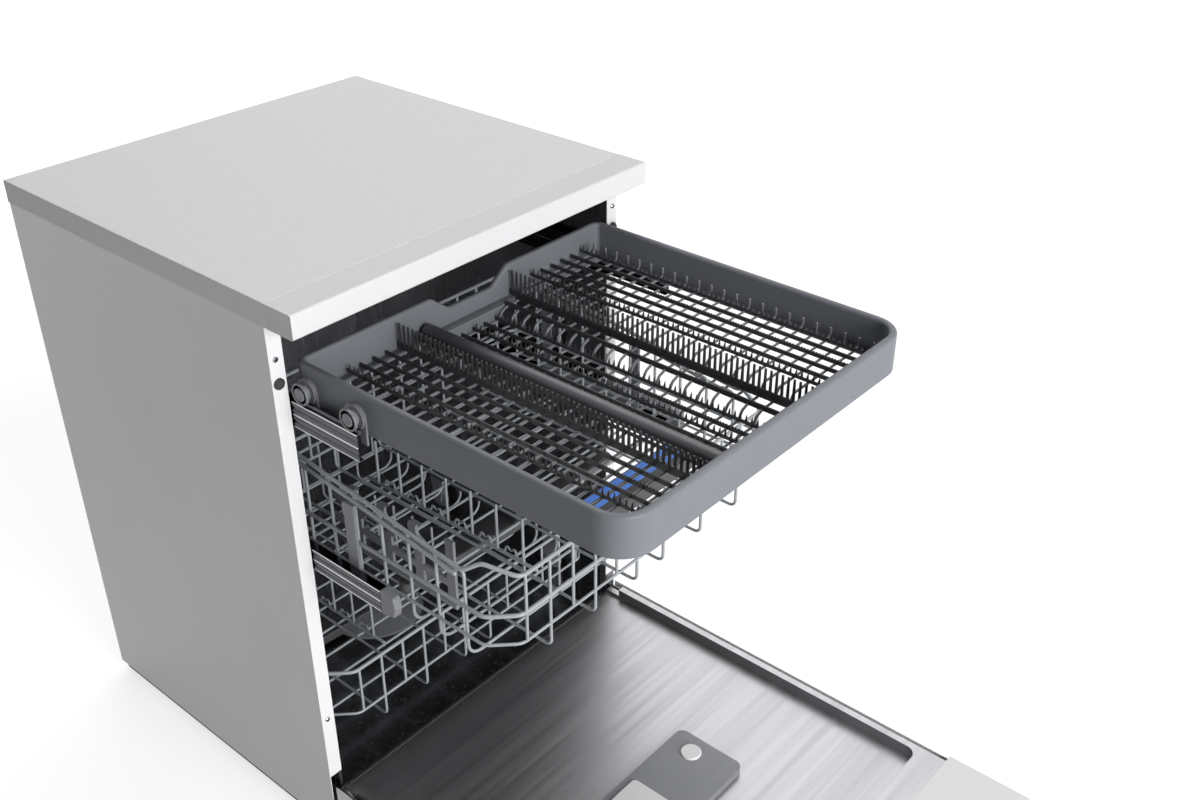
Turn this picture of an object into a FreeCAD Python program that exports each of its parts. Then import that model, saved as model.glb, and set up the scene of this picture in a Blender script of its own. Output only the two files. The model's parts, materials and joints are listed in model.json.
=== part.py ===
import FreeCAD, Part
import math
import os
import re
import Sketcher

# A free-standing dishwasher with its door open, its cutlery tray and upper basket pulled out.
# Millimetres, +Z up, +Y to the back, origin on the floor under the middle of the machine and its open door.

SIZES = {
    # Cabinet
    "cab_width": 600,
    "cab_depth": 600,
    "cab_height": 850,
    "top_thick": 31,
    "trim_width": 47,
    "edge_round": 3,
    "door_thick": 52,
    "sheet": 1.2,
    "flange_width": 20,
    "rear_lip": 16,
    "rear_inset": 3,
    "stamp_low": 120,
    "stamp_high": 60,
    "stamp_share": 0.8,
    "panel_lift": 20,
    "hinge_notch": 30,
    "screw_radius": 3.5,
    "screw_drop": 44,
    "bumper_radius": 7,
    "bumper_drop": 75,
    "fixing_inset": 9,
    # Tub and wash system
    "tub_side_gap": 17,
    "tub_depth": 530,
    "tub_floor": 97,
    "ceiling_gap": 13,
    "tub_sheet": 1.2,
    "tub_round": 25,
    "gasket_thick": 3,
    "gasket_depth": 12,
    "gasket_lift": 1,
    "catch_setback": 20,
    "catch_length": 24,
    "catch_drop": 8,
    "catch_clear": 3,
    "sump_radius": 78,
    "sump_depth": 58,
    "sump_wall": 3,
    "sump_rim": 8,
    "sump_foot": 0.7,
    "screen_foot": 0.45,
    "screen_neck": 0.5,
    "screen_rise": 1,
    "sump_setback": 255,
    "post_radius": 8,
    "post_shoulder": 6,
    "post_crown": 3,
    "jet_radius": 2,
    "arm_thick": 14,
    "arm_width": 44,
    "hub_radius": 22,
    "lower_arm_span": 450,
    "upper_arm_span": 400,
    "top_arm_span": 340,
    "arm_lift": 9,
    "duct_width": 44,
    "duct_thick": 15,
    "roof_thick": 18,
    "upper_duct_thick": 12,
    "upper_duct_end": 20,
    "collar_rim": 5,
    "collar_thick": 2,
    "spigot_drop": 18,
    "pump_radius": 30,
    "pump_length": 96,
    "pump_gap": 34,
    "pump_bell": 0.3,
    "pump_can": 0.62,
    "pump_neck": 0.7,
    "pump_waist": 0.8,
    "pump_head": 1.05,
    "pump_foot": 0.6,
    "drain_radius": 22,
    "drain_length": 70,
    # Base and feet
    "base_bottom": 14,
    "base_setback": 30,
    "base_wall": 3,
    "kick_setback": 14,
    "kick_height": 60,
    "kick_gap": 2,
    "weight_side_gap": 49,
    "weight_depth": 90,
    "weight_height": 30,
    "foot_radius": 20,
    "foot_thick": 11,
    "foot_edge": 0.4,
    "foot_crown": 0.55,
    "foot_inset": 42,
    "stem_radius": 5,
    "stem_gap": 2,
    "boss_radius": 11,
    "boss_height": 42,
    # Door
    "pivot_setback": 20,
    "pivot_height": 95,
    "pin_radius": 4,
    "bracket_thick": 3,
    "bracket_height": 22,
    "bracket_gap": 2,
    "pin_end": 1,
    "hinge_arm_length": 150,
    "hinge_arm_shoulder": 30,
    "hinge_arm_toe": 14,
    "door_top_gap": 4,
    "door_tail": 14,
    "door_side_gap": 3,
    "pan_drop": 6,
    "fascia_length": 122,
    "fascia_wall": 3,
    "liner_inset": 15,
    "rim_width": 10,
    "rim_tip": 40,
    "rim_tail": 12,
    "rim_tail_rise": 8,
    "grip_width": 180,
    "grip_length": 38,
    "grip_depth": 26,
    "button_radius": 8,
    "button_travel": 3,
    "button_pitch": 60,
    "dispenser_width": 200,
    "dispenser_length": 110,
    "dispenser_rise": 12,
    "dispenser_reach": 330,
    "dispenser_margin": 14,
    "cup_width": 62,
    "cup_length": 78,
    "cup_depth": 9,
    "lid_thick": 2.6,
    "lid_lap": 4,
    "cap_radius": 15,
    "latch_width": 26,
    "latch_slot": 9,
    # Running fits
    "pin_clear": 0.06,
    "side_clear": 0.4,
    "rest_clear": 0.3,
    # Cutlery tray
    "tray_side_gap": 18,
    "tray_depth": 493,
    "tray_reach": 486,
    "tray_drop": 94,
    "tray_height": 50,
    "tray_wall": 10,
    "tray_ledge": 9,
    "insert_gap": 2,
    "slat_gap": 1,
    "ledge_thick": 6,
    "tray_front_round": 42,
    "tray_back_round": 16,
    "tray_inner_round": 6,
    "tray_rim_round": 4.5,
    "dip_depth": 23,
    "dip_floor": 75,
    "dip_mouth": 136,
    "dip_centre": 10,
    "dip_round": 12,
    "tube_radius": 9.5,
    "tube_centre": -74,
    "tube_gap": 4,
    "tube_end_gap": 3,
    "slat_pitch": 20,
    "slat_width": 3.5,
    "slat_thick": 3,
    "bar_thick": 2.4,
    "bar_height": 7,
    "low_comb_height": 15,
    "tall_comb_height": 36,
    "tooth_pitch": 7.8,
    "tooth_root": 0.1,
    "tall_tooth_tip": 0.25,
    "comb_inset": 2,
    "left_comb_margin": 42,
    "left_comb_inner": -98,
    "left_comb_tall": -115,
    "left_bar_count": 3,
    "right_comb_inner": 121,
    "right_comb_margin": 30,
    "right_bar_count": 4,
    "middle_bar": -34,
    "trough_low": 4,
    "trough_high": 82,
    "keel_centre": 26,
    "keel_rise": 3,
    "trough_depth": 13,
    "tray_rail_height": 36,
    "tray_rail_length": 470,
    "tray_rail_reach": 114,
    "tray_rail_gauge": 1.5,
    "tray_rail_depth": 7.5,
    "rail_head_width": 4.5,
    "rail_head_height": 5,
    "groove_radius": 9.7,
    "flange_outer": 14,
    "flange_inner": 16,
    "axle_radius": 3,
    "tray_axle_rise": 19,
    "groove_clear": 0.5,
    "tray_roller_back": 26,
    "tray_roller_span": 83,
    "carrier_thick": 2.4,
    "carrier_leg": 14,
    "guide_first": 46,
    "guide_length": 40,
    "tray_guide_pitch": 200,
    "upper_guide_pitch": 130,
    "guide_under": 7,
    "guide_lip": 8,
    "guide_thick": 2,
    "guide_short": 4,
    # Upper basket and its rails
    "basket_side_gap": 24,
    "rim_wire": 2.75,
    "wire": 2,
    "cross_pitch": 45.5,
    "long_first": 26,
    "long_pitch": 39,
    "long_bend": 9,
    "upper_depth": 479,
    "upper_reach": 309,
    "upper_drop": 348,
    "upper_side_height": 129,
    "upper_rise": 50,
    "tier_two_drop": 50,
    "tier_three_rise": 38,
    "rim_twin_drop": 12,
    "rim_jog_in": 12,
    "rim_jog_along": 18,
    "rim_jog_rise": 12,
    "rim_front_rise": 3,
    "corner_cut": 30,
    "floor_bend": 19,
    "rail_wall_gap": 4.5,
    "upper_rail_rise": 14,
    "upper_rail_height": 32,
    "upper_rail_depth": 12,
    "upper_rail_gauge": 1.5,
    "upper_rail_length": 460,
    "upper_rail_reach": 148,
    "cap_length": 23,
    "cap_flare": 3,
    "cap_nose": 1,
    "upper_carrier_thick": 4,
    "upper_carrier_length": 190,
    "upper_carrier_height": 112,
    "upper_carrier_strap": 18,
    "upper_carrier_bar": 16,
    "upper_roller_front": 50,
    "upper_roller_span": 140,
    "upper_axle_radius": 4,
    "roller_chamfer": 1,
    "roller_end_gap": 1,
    "handle_width": 190,
    "handle_depth": 42,
    "handle_wall": 5,
    "handle_skirt": 6,
    "handle_lip": 4,
    "handle_crown": 13,
    "upper_tine_x": -92,
    "tine_height": 68,
    "tine_wire": 2.5,
    "tine_count": 7,
    "tine_root": 0.8,
    "shelf_side_gap": 53,
    "shelf_height": 96,
    "shelf_thick": 4,
    "shelf_pitch": 56,
    "shelf_count": 4,
    "shelf_rod": 4,
    "shelf_rail": 8,
    "shelf_low_share": 0.3,
    "shelf_high_share": 0.62,
    "shelf_post": 14,
    "shelf_hook": 44,
    "shelf_swing": 9,
    # Lower basket
    "lower_depth": 490,
    "lower_setback": 14,
    "lower_lift": 48,
    "lower_side_height": 115,
    "lower_tier_rise": 40,
    "lower_tine_x": 85,
    "lower_tine_height": 86,
    "wheel_radius": 19,
    "wheel_width": 7.5,
    "wheel_chamfer": 1.5,
    "wheel_axle_end": 1.5,
    "wheel_first": 96,
    "wheel_span": 274,
    "wheel_bracket_thick": 3,
    "wheel_bracket_width": 32,
    "wheel_bracket_toe": 8,
}

# Places worked out from the sizes
PLACES = {
    "half_width": "cab_width / 2",
    "door_length": "top_under - pivot_height - door_top_gap",
    "rear_edge": "(cab_depth - door_thick + pivot_setback + door_length) / 2",
    "front": "rear_edge - cab_depth + door_thick",
    "top_under": "cab_height - top_thick",
    "rear_face": "rear_edge - rear_inset",
    "tub_half": "half_width - tub_side_gap",
    "tub_ceiling": "top_under - ceiling_gap",
    "tub_back": "front + tub_depth",
    "base_top": "tub_floor - tub_sheet",
    "base_front": "front + base_setback",
    "base_rear": "rear_face - 2 * sheet - base_wall",
    "base_half": "half_width - sheet",
    "sump_y": "front + sump_setback",
    "pivot_y": "front - pivot_setback",
    "door_under": "pivot_height + pivot_setback - door_thick",
    "door_over": "pivot_height + pivot_setback",
    "door_half": "half_width - door_side_gap",
    "liner_half": "half_width - liner_inset",
    "tail_y": "pivot_y + door_tail",
    "tip_y": "pivot_y - door_length",
    "fascia_y": "tip_y + fascia_length",
    "bracket_x": "liner_half + bracket_gap",
    "tray_half": "tub_half - tray_side_gap",
    "tray_bottom": "tub_ceiling - tray_drop",
    "tray_front": "front - tray_reach",
    "tray_back": "tray_front + tray_depth",
    "tray_top": "tray_bottom + tray_height",
    "rail_side": "tub_half - rail_wall_gap",
    "insert_floor": "tray_bottom + ledge_thick",
    "tray_rail_top": "tray_rail_low + tray_rail_height",
    "tray_rail_low": "tray_roller_z - rest_clear - groove_radius - rail_head_height - tray_rail_height",
    "tray_roller_z": "tray_bottom + tray_axle_rise",
    "basket_half": "tub_half - basket_side_gap",
    "upper_floor": "tub_ceiling - upper_drop",
    "upper_rim": "upper_floor + upper_side_height",
    "upper_tier_two": "upper_rim - tier_two_drop",
    "upper_tier_three": "upper_floor + tier_three_rise",
    "upper_rail_low": "upper_floor + upper_rail_rise",
    "upper_front": "front - upper_reach",
    "upper_back": "upper_front + upper_depth",
    "upper_rail_front": "front - upper_rail_reach",
    "upper_roller_z": "upper_rail_low + upper_rail_height / 2",
    "upper_roller_r": "upper_rail_height / 2 - upper_rail_gauge - side_clear",
    "carrier_x": "basket_half + rim_wire + rest_clear",
    "shelf_x": "shelf_side_gap - basket_half",
    "wheel_bracket_x": "basket_half + wire + rest_clear",
    "rod_top_upper": "upper_floor + wire + rest_clear",
    "rod_top_lower": "lower_floor + wire + rest_clear",
    "lower_floor": "tub_floor + lower_lift",
    "lower_rim": "lower_floor + lower_side_height",
    "lower_tier_two": "lower_floor + lower_tier_rise",
    "lower_front": "front + lower_setback",
    "lower_back": "lower_front + lower_depth",
    "wheel_z": "tub_floor + wheel_radius + rest_clear",
    "upper_mid": "(upper_front + upper_back) / 2",
    "spigot_top": "tub_ceiling - roof_thick",
    "upper_spigot_top": "upper_floor - wire - upper_duct_thick",
    "lower_arm_z": "tub_floor + arm_lift",
}

WIRE_SIDES = 8
JET_STEPS = (0.35, 0.6, 0.85)

doc = FreeCAD.newDocument("dishwasher")
PARTS = []


def cell(text):
    """An expression with every name pointed at its cell."""
    def owner(match):
        name = match.group(0)
        return f"sizes.{name}" if name in SIZES else f"places.{name}" if name in PLACES else name
    return re.sub(r"[a-z][a-z_]+", owner, str(text))


def fill_sheet(name, cells, content):
    sheet = doc.addObject("Spreadsheet::Sheet", name)
    for row, alias in enumerate(cells, 1):
        sheet.set(f"A{row}", alias)
        sheet.setAlias(f"B{row}", alias)
        sheet.set(f"B{row}", content(cells[alias]))
    return sheet


sizes = fill_sheet("sizes", SIZES, str)
places = fill_sheet("places", PLACES, lambda formula: "=" + cell(formula).replace("places.", ""))
doc.recompute()


def val(name):
    """The value of a size or a place, in millimetres."""
    return float((sizes if name in SIZES else places).get(name))


def keep(label, shape_object):
    """Name a finished sub-part; the label is its file name."""
    shape_object.Label = label
    PARTS.append(shape_object)
    return shape_object


def bind(thing, **expressions):
    for prop, text in expressions.items():
        thing.setExpression(prop.replace("__", "."), cell(text))


# Sketched bodies

def plane_of(body, role):
    return next(item for item in body.Origin.OriginFeatures if item.Role == role)


def sketch_on(body, role, offset):
    sketch = body.newObject("Sketcher::SketchObject", "outline")
    sketch.AttachmentSupport = [(plane_of(body, role), "")]
    sketch.MapMode = "FlatFace"
    sketch.setExpression("AttachmentOffset.Base.z", cell(offset))
    return sketch


def hold(sketch, kind, element, point, expression):
    index = sketch.addConstraint(Sketcher.Constraint(kind, -1, 1, element, point, 1.0))
    sketch.setExpression(f"Constraints[{index}]", cell(expression))


def draw_polygon(sketch, points):
    count = len(points)
    ring = [FreeCAD.Vector(math.cos(2 * math.pi * i / count), math.sin(2 * math.pi * i / count), 0)
            for i in range(count)]
    for i in range(count):
        sketch.addGeometry(Part.LineSegment(ring[i], ring[(i + 1) % count]))
    for i in range(count):
        sketch.addConstraint(Sketcher.Constraint("Coincident", i, 2, (i + 1) % count, 1))
    for i, (across, along) in enumerate(points):
        hold(sketch, "DistanceX", i, 1, across)
        hold(sketch, "DistanceY", i, 1, along)


def draw_circle(sketch, centre, radius):
    sketch.addGeometry(Part.Circle(FreeCAD.Vector(1, 1, 0), FreeCAD.Vector(0, 0, 1), 1))
    hold(sketch, "DistanceX", 0, 3, centre[0])
    hold(sketch, "DistanceY", 0, 3, centre[1])
    index = sketch.addConstraint(Sketcher.Constraint("Radius", 0, 1.0))
    sketch.setExpression(f"Constraints[{index}]", cell(radius))


def draw(sketch, shape):
    if isinstance(shape, tuple):
        draw_circle(sketch, *shape)
    else:
        draw_polygon(sketch, shape)


def new_body(name):
    return doc.addObject("PartDesign::Body", name)


def add(body, role, shape, low, high):
    """Pad an outline between two levels along the axis across its plane."""
    flipped = role == "XZ_Plane"
    sketch = sketch_on(body, role, f"-({high})" if flipped else low)
    draw(sketch, shape)
    pad = body.newObject("PartDesign::Pad", "pad")
    pad.Profile = sketch
    bind(pad, Length=f"({high}) - ({low})")
    return body


def remove(body, role, shape, low, high):
    """Pocket an outline between two levels along the axis across its plane."""
    flipped = role == "XZ_Plane"
    sketch = sketch_on(body, role, f"-({low})" if flipped else high)
    draw(sketch, shape)
    pocket = body.newObject("PartDesign::Pocket", "pocket")
    pocket.Profile = sketch
    bind(pocket, Length=f"({high}) - ({low})")
    return body


def turned(name, profile, turn=None, at=(0, 0, 0)):
    """A body turned about Z from (radius, height) corners, then laid along its axis and placed."""
    body = new_body(name)
    sketch = sketch_on(body, "XZ_Plane", 0)
    draw_polygon(sketch, profile)
    spin = body.newObject("PartDesign::Revolution", "spin")
    spin.Profile = sketch
    spin.ReferenceAxis = (sketch, ["V_Axis"])
    spin.Angle = 360
    if turn:
        body.Placement = FreeCAD.Placement(FreeCAD.Vector(), turn)
    for axis, text in zip("xyz", at):
        body.setExpression(f"Placement.Base.{axis}", cell(text))
    return body


def soften(body, radius, chosen):
    """Round the edges of a body that a test picks."""
    doc.recompute()
    tip = body.Tip
    names = [f"Edge{i}" for i, edge in enumerate(tip.Shape.Edges, 1) if chosen(edge)]
    fillet = body.newObject("PartDesign::Fillet", "soft_edge")
    fillet.Base = (tip, names)
    bind(fillet, Radius=radius)
    return body


def rectangle(x_low, x_high, y_low, y_high):
    return [(x_low, y_low), (x_high, y_low), (x_high, y_high), (x_low, y_high)]


def runs_along(axis):
    """A test for straight edges along an axis."""
    def test(edge):
        return (isinstance(edge.Curve, Part.Line)
                and abs(abs(getattr(edge.Curve.Direction, axis)) - 1) < 1e-6)
    return test


def middle(edge):
    return edge.CenterOfMass


TO_X = FreeCAD.Rotation(FreeCAD.Vector(0, 1, 0), 90)
TO_Y = FreeCAD.Rotation(FreeCAD.Vector(1, 0, 0), -90)
TO_FRONT = FreeCAD.Rotation(FreeCAD.Vector(1, 0, 0), 90)


# Primitives, copies and groups

def block(name, x_span, y_span, z_span):
    box = doc.addObject("Part::Box", name)
    for prop, axis, (low, high) in zip(("Length", "Width", "Height"), "xyz", (x_span, y_span, z_span)):
        box.setExpression(prop, cell(f"({high}) - ({low})"))
        box.setExpression(f"Placement.Base.{axis}", cell(low))
    return box


def rod(name, radius, length, at, turn=None, sweep=360):
    cylinder = doc.addObject("Part::Cylinder", name)
    cylinder.Angle = sweep
    bind(cylinder, Radius=radius, Height=length)
    if turn:
        cylinder.Placement = FreeCAD.Placement(FreeCAD.Vector(), turn)
    for axis, text in zip("xyz", at):
        cylinder.setExpression(f"Placement.Base.{axis}", cell(text))
    return cylinder


def fuse(name, *shapes):
    joined = doc.addObject("Part::MultiFuse", name)
    joined.Shapes = list(shapes)
    return joined


def cut(name, base, *tools):
    result = doc.addObject("Part::Cut", name)
    result.Base = base
    result.Tool = tools[0] if len(tools) == 1 else fuse(name + "_tools", *tools)
    return result


def round_off(name, base, radius, chosen):
    """Round the edges of a boolean that a test picks."""
    doc.recompute()
    result = doc.addObject("Part::Fillet", name)
    result.Base = base
    size = val(radius)
    result.Edges = [(i, size, size) for i, edge in enumerate(base.Shape.Edges, 1) if chosen(edge)]
    return result


def mirrored(source, name):
    copy = doc.addObject("Part::Mirroring", name)
    copy.Source = source
    copy.Normal = FreeCAD.Vector(1, 0, 0)
    return copy


def group(name, members):
    compound = doc.addObject("Part::Compound", name)
    compound.Links = members
    return compound


def both_sides(name, *sources):
    """The pieces of the right side and their mirror images, as one node."""
    copies = [mirrored(source, f"{name}_left") for source in sources]
    return keep(name, group(name, list(sources) + copies))


def plain(name, shape):
    feature = doc.addObject("Part::Feature", name)
    feature.Shape = shape
    feature.Placement = FreeCAD.Placement()
    return feature


# Bent wire: straight rods that meet in mitres

def past(point, normal, size):
    """The half of space on the far side of a plane."""
    across = Part.makePlane(2 * size, 2 * size, FreeCAD.Vector(-size, -size, 0))
    across.Placement = FreeCAD.Placement(point, FreeCAD.Rotation(FreeCAD.Vector(0, 0, 1), normal))
    return across.Faces[0].extrude(normal * size)


def flat_sided(radius, start, direction, length):
    """A straight wire drawn with few faces, as a basket has hundreds of runs."""
    facing = FreeCAD.Placement(start, FreeCAD.Rotation(FreeCAD.Vector(0, 0, 1), direction))
    turn = 2 * math.pi / WIRE_SIDES
    ring = [facing.multVec(FreeCAD.Vector(radius * math.cos(i * turn), radius * math.sin(i * turn), 0))
            for i in range(WIRE_SIDES)]
    return Part.Face(Part.makePolygon(ring + ring[:1])).extrude(direction * length)


def straight_rod(start, end, radius, before=None, after=None):
    run = end - start
    direction = FreeCAD.Vector(run).normalize()
    reach = 3 * radius
    head = reach if before else 0
    tail = reach if after else 0
    solid = flat_sided(radius, start - direction * head, direction, run.Length + head + tail)
    for corner, other, sign in ((start, before, -1), (end, after, 1)):
        if other is None:
            continue
        beyond = ((corner - other) if sign < 0 else (other - corner)).normalize()
        normal = (direction + beyond).normalize() * sign
        solid = solid.cut(past(corner, normal, 8 * radius))
    return solid.Solids[0]


def bent_wire(points, radius, closed=False):
    points = [FreeCAD.Vector(*point) for point in points]
    count = len(points)
    runs = count if closed else count - 1
    rods = []
    for i in range(runs):
        before = points[i - 1] if closed or i else None
        after = points[(i + 2) % count] if closed or i < runs - 1 else None
        rods.append(straight_rod(points[i], points[(i + 1) % count], radius, before, after))
    return rods


# Cabinet

def worktop():
    board = add(new_body("worktop_board"), "XY_Plane",
                rectangle("-half_width", "half_width", "front - door_thick + trim_width", "rear_edge"),
                "top_under", "cab_height")
    soften(board, "edge_round / 4", lambda edge: middle(edge).z > val("cab_height") - 0.1)
    keep("worktop_board", board)
    trim = add(new_body("worktop_trim"), "YZ_Plane",
               rectangle("front - door_thick", "front - door_thick + trim_width", "top_under", "cab_height"),
               "-half_width", "half_width")
    nose = val("front") - val("door_thick")
    soften(trim, "edge_round", lambda edge: runs_along("x")(edge) and abs(middle(edge).y - nose) < 0.1)
    back = nose + val("trim_width")
    soften(trim, "edge_round / 4",
           lambda edge: runs_along("x")(edge) and abs(middle(edge).y - back) < 0.1
           and middle(edge).z > val("top_under") + 1)
    keep("worktop_trim", trim)


def side_panel(label, side):
    """A folded sheet: outer wall, front flange and rear flange, notched for the hinge."""
    outer, inner = f"{side} * half_width", f"{side} * (half_width - sheet)"
    lip, back_lip = f"{side} * (half_width - flange_width)", f"{side} * (half_width - rear_lip)"
    fold = [(outer, "front"), (lip, "front"), (lip, "front + sheet"), (inner, "front + sheet"),
            (inner, "rear_face - sheet"), (back_lip, "rear_face - sheet"), (back_lip, "rear_face"),
            (outer, "rear_face")]
    body = add(new_body(label), "XY_Plane", fold, "panel_lift", "top_under")
    low_x, high_x = (lip, inner) if side > 0 else (inner, lip)
    notch = rectangle(low_x, high_x, "front - 1", "front + sheet + 1")
    remove(body, "XY_Plane", notch, "panel_lift - 1", "tub_floor + hinge_notch")
    keep(label, body)


def rear_panel():
    half = "half_width - sheet - side_clear"
    body = add(new_body("rear_panel"), "XZ_Plane",
               rectangle(f"-({half})", half, "panel_lift", "top_under"),
               "rear_face - 2 * sheet", "rear_face - sheet")
    stamped = rectangle(f"-({half}) * stamp_share", f"({half}) * stamp_share", "panel_lift + stamp_low",
                        "top_under - stamp_high")
    add(body, "XZ_Plane", stamped, "rear_face - 4 * sheet", "rear_face - 2 * sheet")
    keep("rear_panel", body)


def base_and_feet():
    body = add(new_body("base_pan"), "XY_Plane",
               rectangle("-base_half", "base_half", "base_front", "base_rear"), "base_bottom", "base_top")
    soften(body, "4 * edge_round", runs_along("z"))
    remove(body, "XY_Plane",
           rectangle("base_wall - base_half", "base_half - base_wall", "base_front + base_wall",
                     "base_rear - base_wall"), "base_bottom + base_wall", "base_top + 1")
    feet_x = "base_half - foot_inset"
    rows = {"front": "base_front + foot_inset", "rear": "base_rear - foot_inset"}
    spots = [(f"foot_{row}_{name}", f"{side} * ({feet_x})", rows[row])
             for row in rows for name, side in (("left", -1), ("right", 1))]
    for _, x, y in spots:
        add(body, "XY_Plane", ((x, y), "boss_radius"), "base_bottom", "base_bottom + boss_height")
    for _, x, y in spots:
        remove(body, "XY_Plane", ((x, y), "stem_radius + pin_clear"), "base_bottom - 1",
               "base_bottom + boss_height + 1")
    keep("base_pan", body)
    for label, x, y in spots:
        stem_top = "base_bottom + boss_height - stem_gap"
        profile = [(0, 0), ("foot_radius", 0), ("foot_radius", "foot_thick * foot_edge"),
                   ("foot_radius * foot_crown", "foot_thick"), ("stem_radius", "foot_thick"),
                   ("stem_radius", stem_top), (0, stem_top)]
        keep(label, turned(label, profile, at=(x, y, 0)))
    kick = [("front + kick_setback", "base_bottom"), ("front + kick_setback + sheet", "base_bottom"),
            ("front + kick_setback + sheet", "base_bottom + kick_height - sheet"),
            ("base_front", "base_bottom + kick_height - sheet"), ("base_front", "base_bottom + kick_height"),
            ("front + kick_setback", "base_bottom + kick_height")]
    keep("kick_plate", add(new_body("kick_plate"), "YZ_Plane", kick, "kick_gap - liner_half",
                           "liner_half - kick_gap"))
    weight = add(new_body("counterweight"), "XY_Plane",
                 rectangle("weight_side_gap - base_half", "base_half - weight_side_gap",
                           "base_rear - 2 * base_wall - weight_depth - foot_inset - boss_radius",
                           "base_rear - 2 * base_wall - foot_inset - boss_radius"),
                 "base_bottom + base_wall", "base_bottom + base_wall + weight_height")
    keep("counterweight", soften(weight, "2 * edge_round", runs_along("z")))


def tub():
    """Welded sheets: floor with its drain, walls, back, ceiling and a bent strip along each upper corner."""
    outer, reach, span = "tub_half + tub_sheet", "tub_ceiling - tub_round", "tub_half - tub_round"
    deep = ("front + sheet", "tub_back + tub_sheet")
    floor = block("tub_floor_sheet", (f"-({outer})", outer), deep, ("tub_floor - tub_sheet", "tub_floor"))
    drain = rod("tub_drain", "sump_radius", "3 * tub_sheet", (0, "sump_y", "tub_floor - 2 * tub_sheet"))
    wall = block("tub_wall", ("tub_half", outer), deep, ("tub_floor", reach))
    ceiling = block("tub_roof", (f"-({span})", span), deep, ("tub_ceiling", "tub_ceiling + tub_sheet"))
    bends = []
    for name, radius in (("outside", "tub_round + tub_sheet"), ("inside", "tub_round")):
        bends.append(rod(f"tub_bend_{name}", radius, "tub_depth + tub_sheet - sheet",
                         (span, "tub_back + tub_sheet", reach), TO_FRONT, 90))
    bend = cut("tub_bend", *bends)
    back = add(new_body("tub_back_sheet"), "XZ_Plane",
               rectangle("-tub_half", "tub_half", "tub_floor", "tub_ceiling"),
               "tub_back", "tub_back + tub_sheet")
    soften(back, "tub_round", lambda edge: runs_along("y")(edge) and middle(edge).z > val("tub_floor") + 1)
    sheets = [cut("tub_base", floor, drain), wall, mirrored(wall, "tub_wall_left"), ceiling, back,
              bend, mirrored(bend, "tub_bend_left")]
    keep("tub", group("tub", sheets))
    seal = "tub_half - gasket_thick"
    profile = [("tub_half", "tub_floor + gasket_lift"), ("tub_half", reach), (seal, reach),
               (seal, "tub_floor + gasket_lift")]
    side = add(new_body("gasket_side"), "XZ_Plane", profile, "front + sheet", "front + sheet + gasket_depth")
    top = add(new_body("gasket_top"), "XZ_Plane",
              rectangle(f"-({span})", span, "tub_ceiling - gasket_thick", "tub_ceiling"),
              "front + sheet", "front + sheet + gasket_depth")
    keep("door_gasket", group("door_gasket", [side, mirrored(side, "gasket_side_left"), top]))
    catch = add(new_body("door_catch"), "YZ_Plane",
                [("front + catch_setback", "tub_ceiling"),
                 ("front + catch_setback", "tub_ceiling - catch_drop"),
                 ("front + catch_setback + catch_length", "tub_ceiling - catch_drop"),
                 ("front + catch_setback + catch_length + catch_drop", "tub_ceiling")],
                "catch_clear - latch_width / 2", "latch_width / 2 - catch_clear")
    keep("door_catch", catch)


def wash_system():
    keep("sump", turned("sump", [
        ("sump_radius + sump_rim", "tub_floor - tub_sheet"),
        ("sump_radius + sump_rim", "tub_floor - tub_sheet - sump_wall"),
        ("sump_radius", "tub_floor - tub_sheet - sump_wall"),
        ("sump_radius * sump_foot", "tub_floor - sump_depth"),
        (0, "tub_floor - sump_depth"), (0, "tub_floor - sump_depth + sump_wall"),
        ("sump_radius * sump_foot - sump_wall", "tub_floor - sump_depth + sump_wall"),
        ("sump_radius - sump_wall", "tub_floor - tub_sheet")], at=(0, "sump_y", 0)))
    keep("filter_screen", turned("filter_screen", [
        (0, "tub_floor - sump_depth + sump_wall + rest_clear"),
        ("sump_radius * screen_foot", "tub_floor - sump_depth + sump_wall + rest_clear"),
        ("sump_radius * screen_neck", "tub_floor - tub_sheet"),
        ("sump_radius - sump_wall", "tub_floor - tub_sheet"),
        ("sump_radius - sump_wall", "tub_floor + screen_rise"),
        ("post_radius + post_shoulder", "lower_arm_z - side_clear"),
        ("post_radius", "lower_arm_z - side_clear"),
        ("post_radius", "lower_arm_z + arm_thick + post_crown"),
        (0, "lower_arm_z + arm_thick + post_crown")],
        at=(0, "sump_y", 0)))
    motor("wash_pump", "pump_radius", "pump_length", "-sump_radius - pump_gap - pump_length")
    motor("drain_pump", "drain_radius", "drain_length", "sump_radius + pump_gap")
    wall = block("duct_wall", ("-duct_width / 2", "duct_width / 2"), ("tub_back - duct_thick", "tub_back"),
                 ("tub_floor + side_clear", "tub_ceiling - roof_thick / 2"))
    roof = block("duct_roof", ("-duct_width / 2", "duct_width / 2"), ("sump_y - hub_radius", "tub_back"),
                 ("spigot_top", "tub_ceiling"))
    spigot = rod("duct_spigot", "post_radius", "spigot_drop", (0, "sump_y", "spigot_top - spigot_drop"))
    collar = rod("duct_collar", "post_radius + collar_rim", "collar_thick",
                 (0, "sump_y", "spigot_top - spigot_drop - collar_thick"))
    keep("feed_duct", fuse("feed_duct", wall, roof, spigot, collar))
    spray_arm("spray_arm_lower", "lower_arm_span", "sump_y", "lower_arm_z")
    spray_arm("spray_arm_upper", "upper_arm_span", "upper_mid",
              "upper_spigot_top - spigot_drop + side_clear")
    spray_arm("spray_arm_top", "top_arm_span", "sump_y", "spigot_top - spigot_drop + side_clear")


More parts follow.
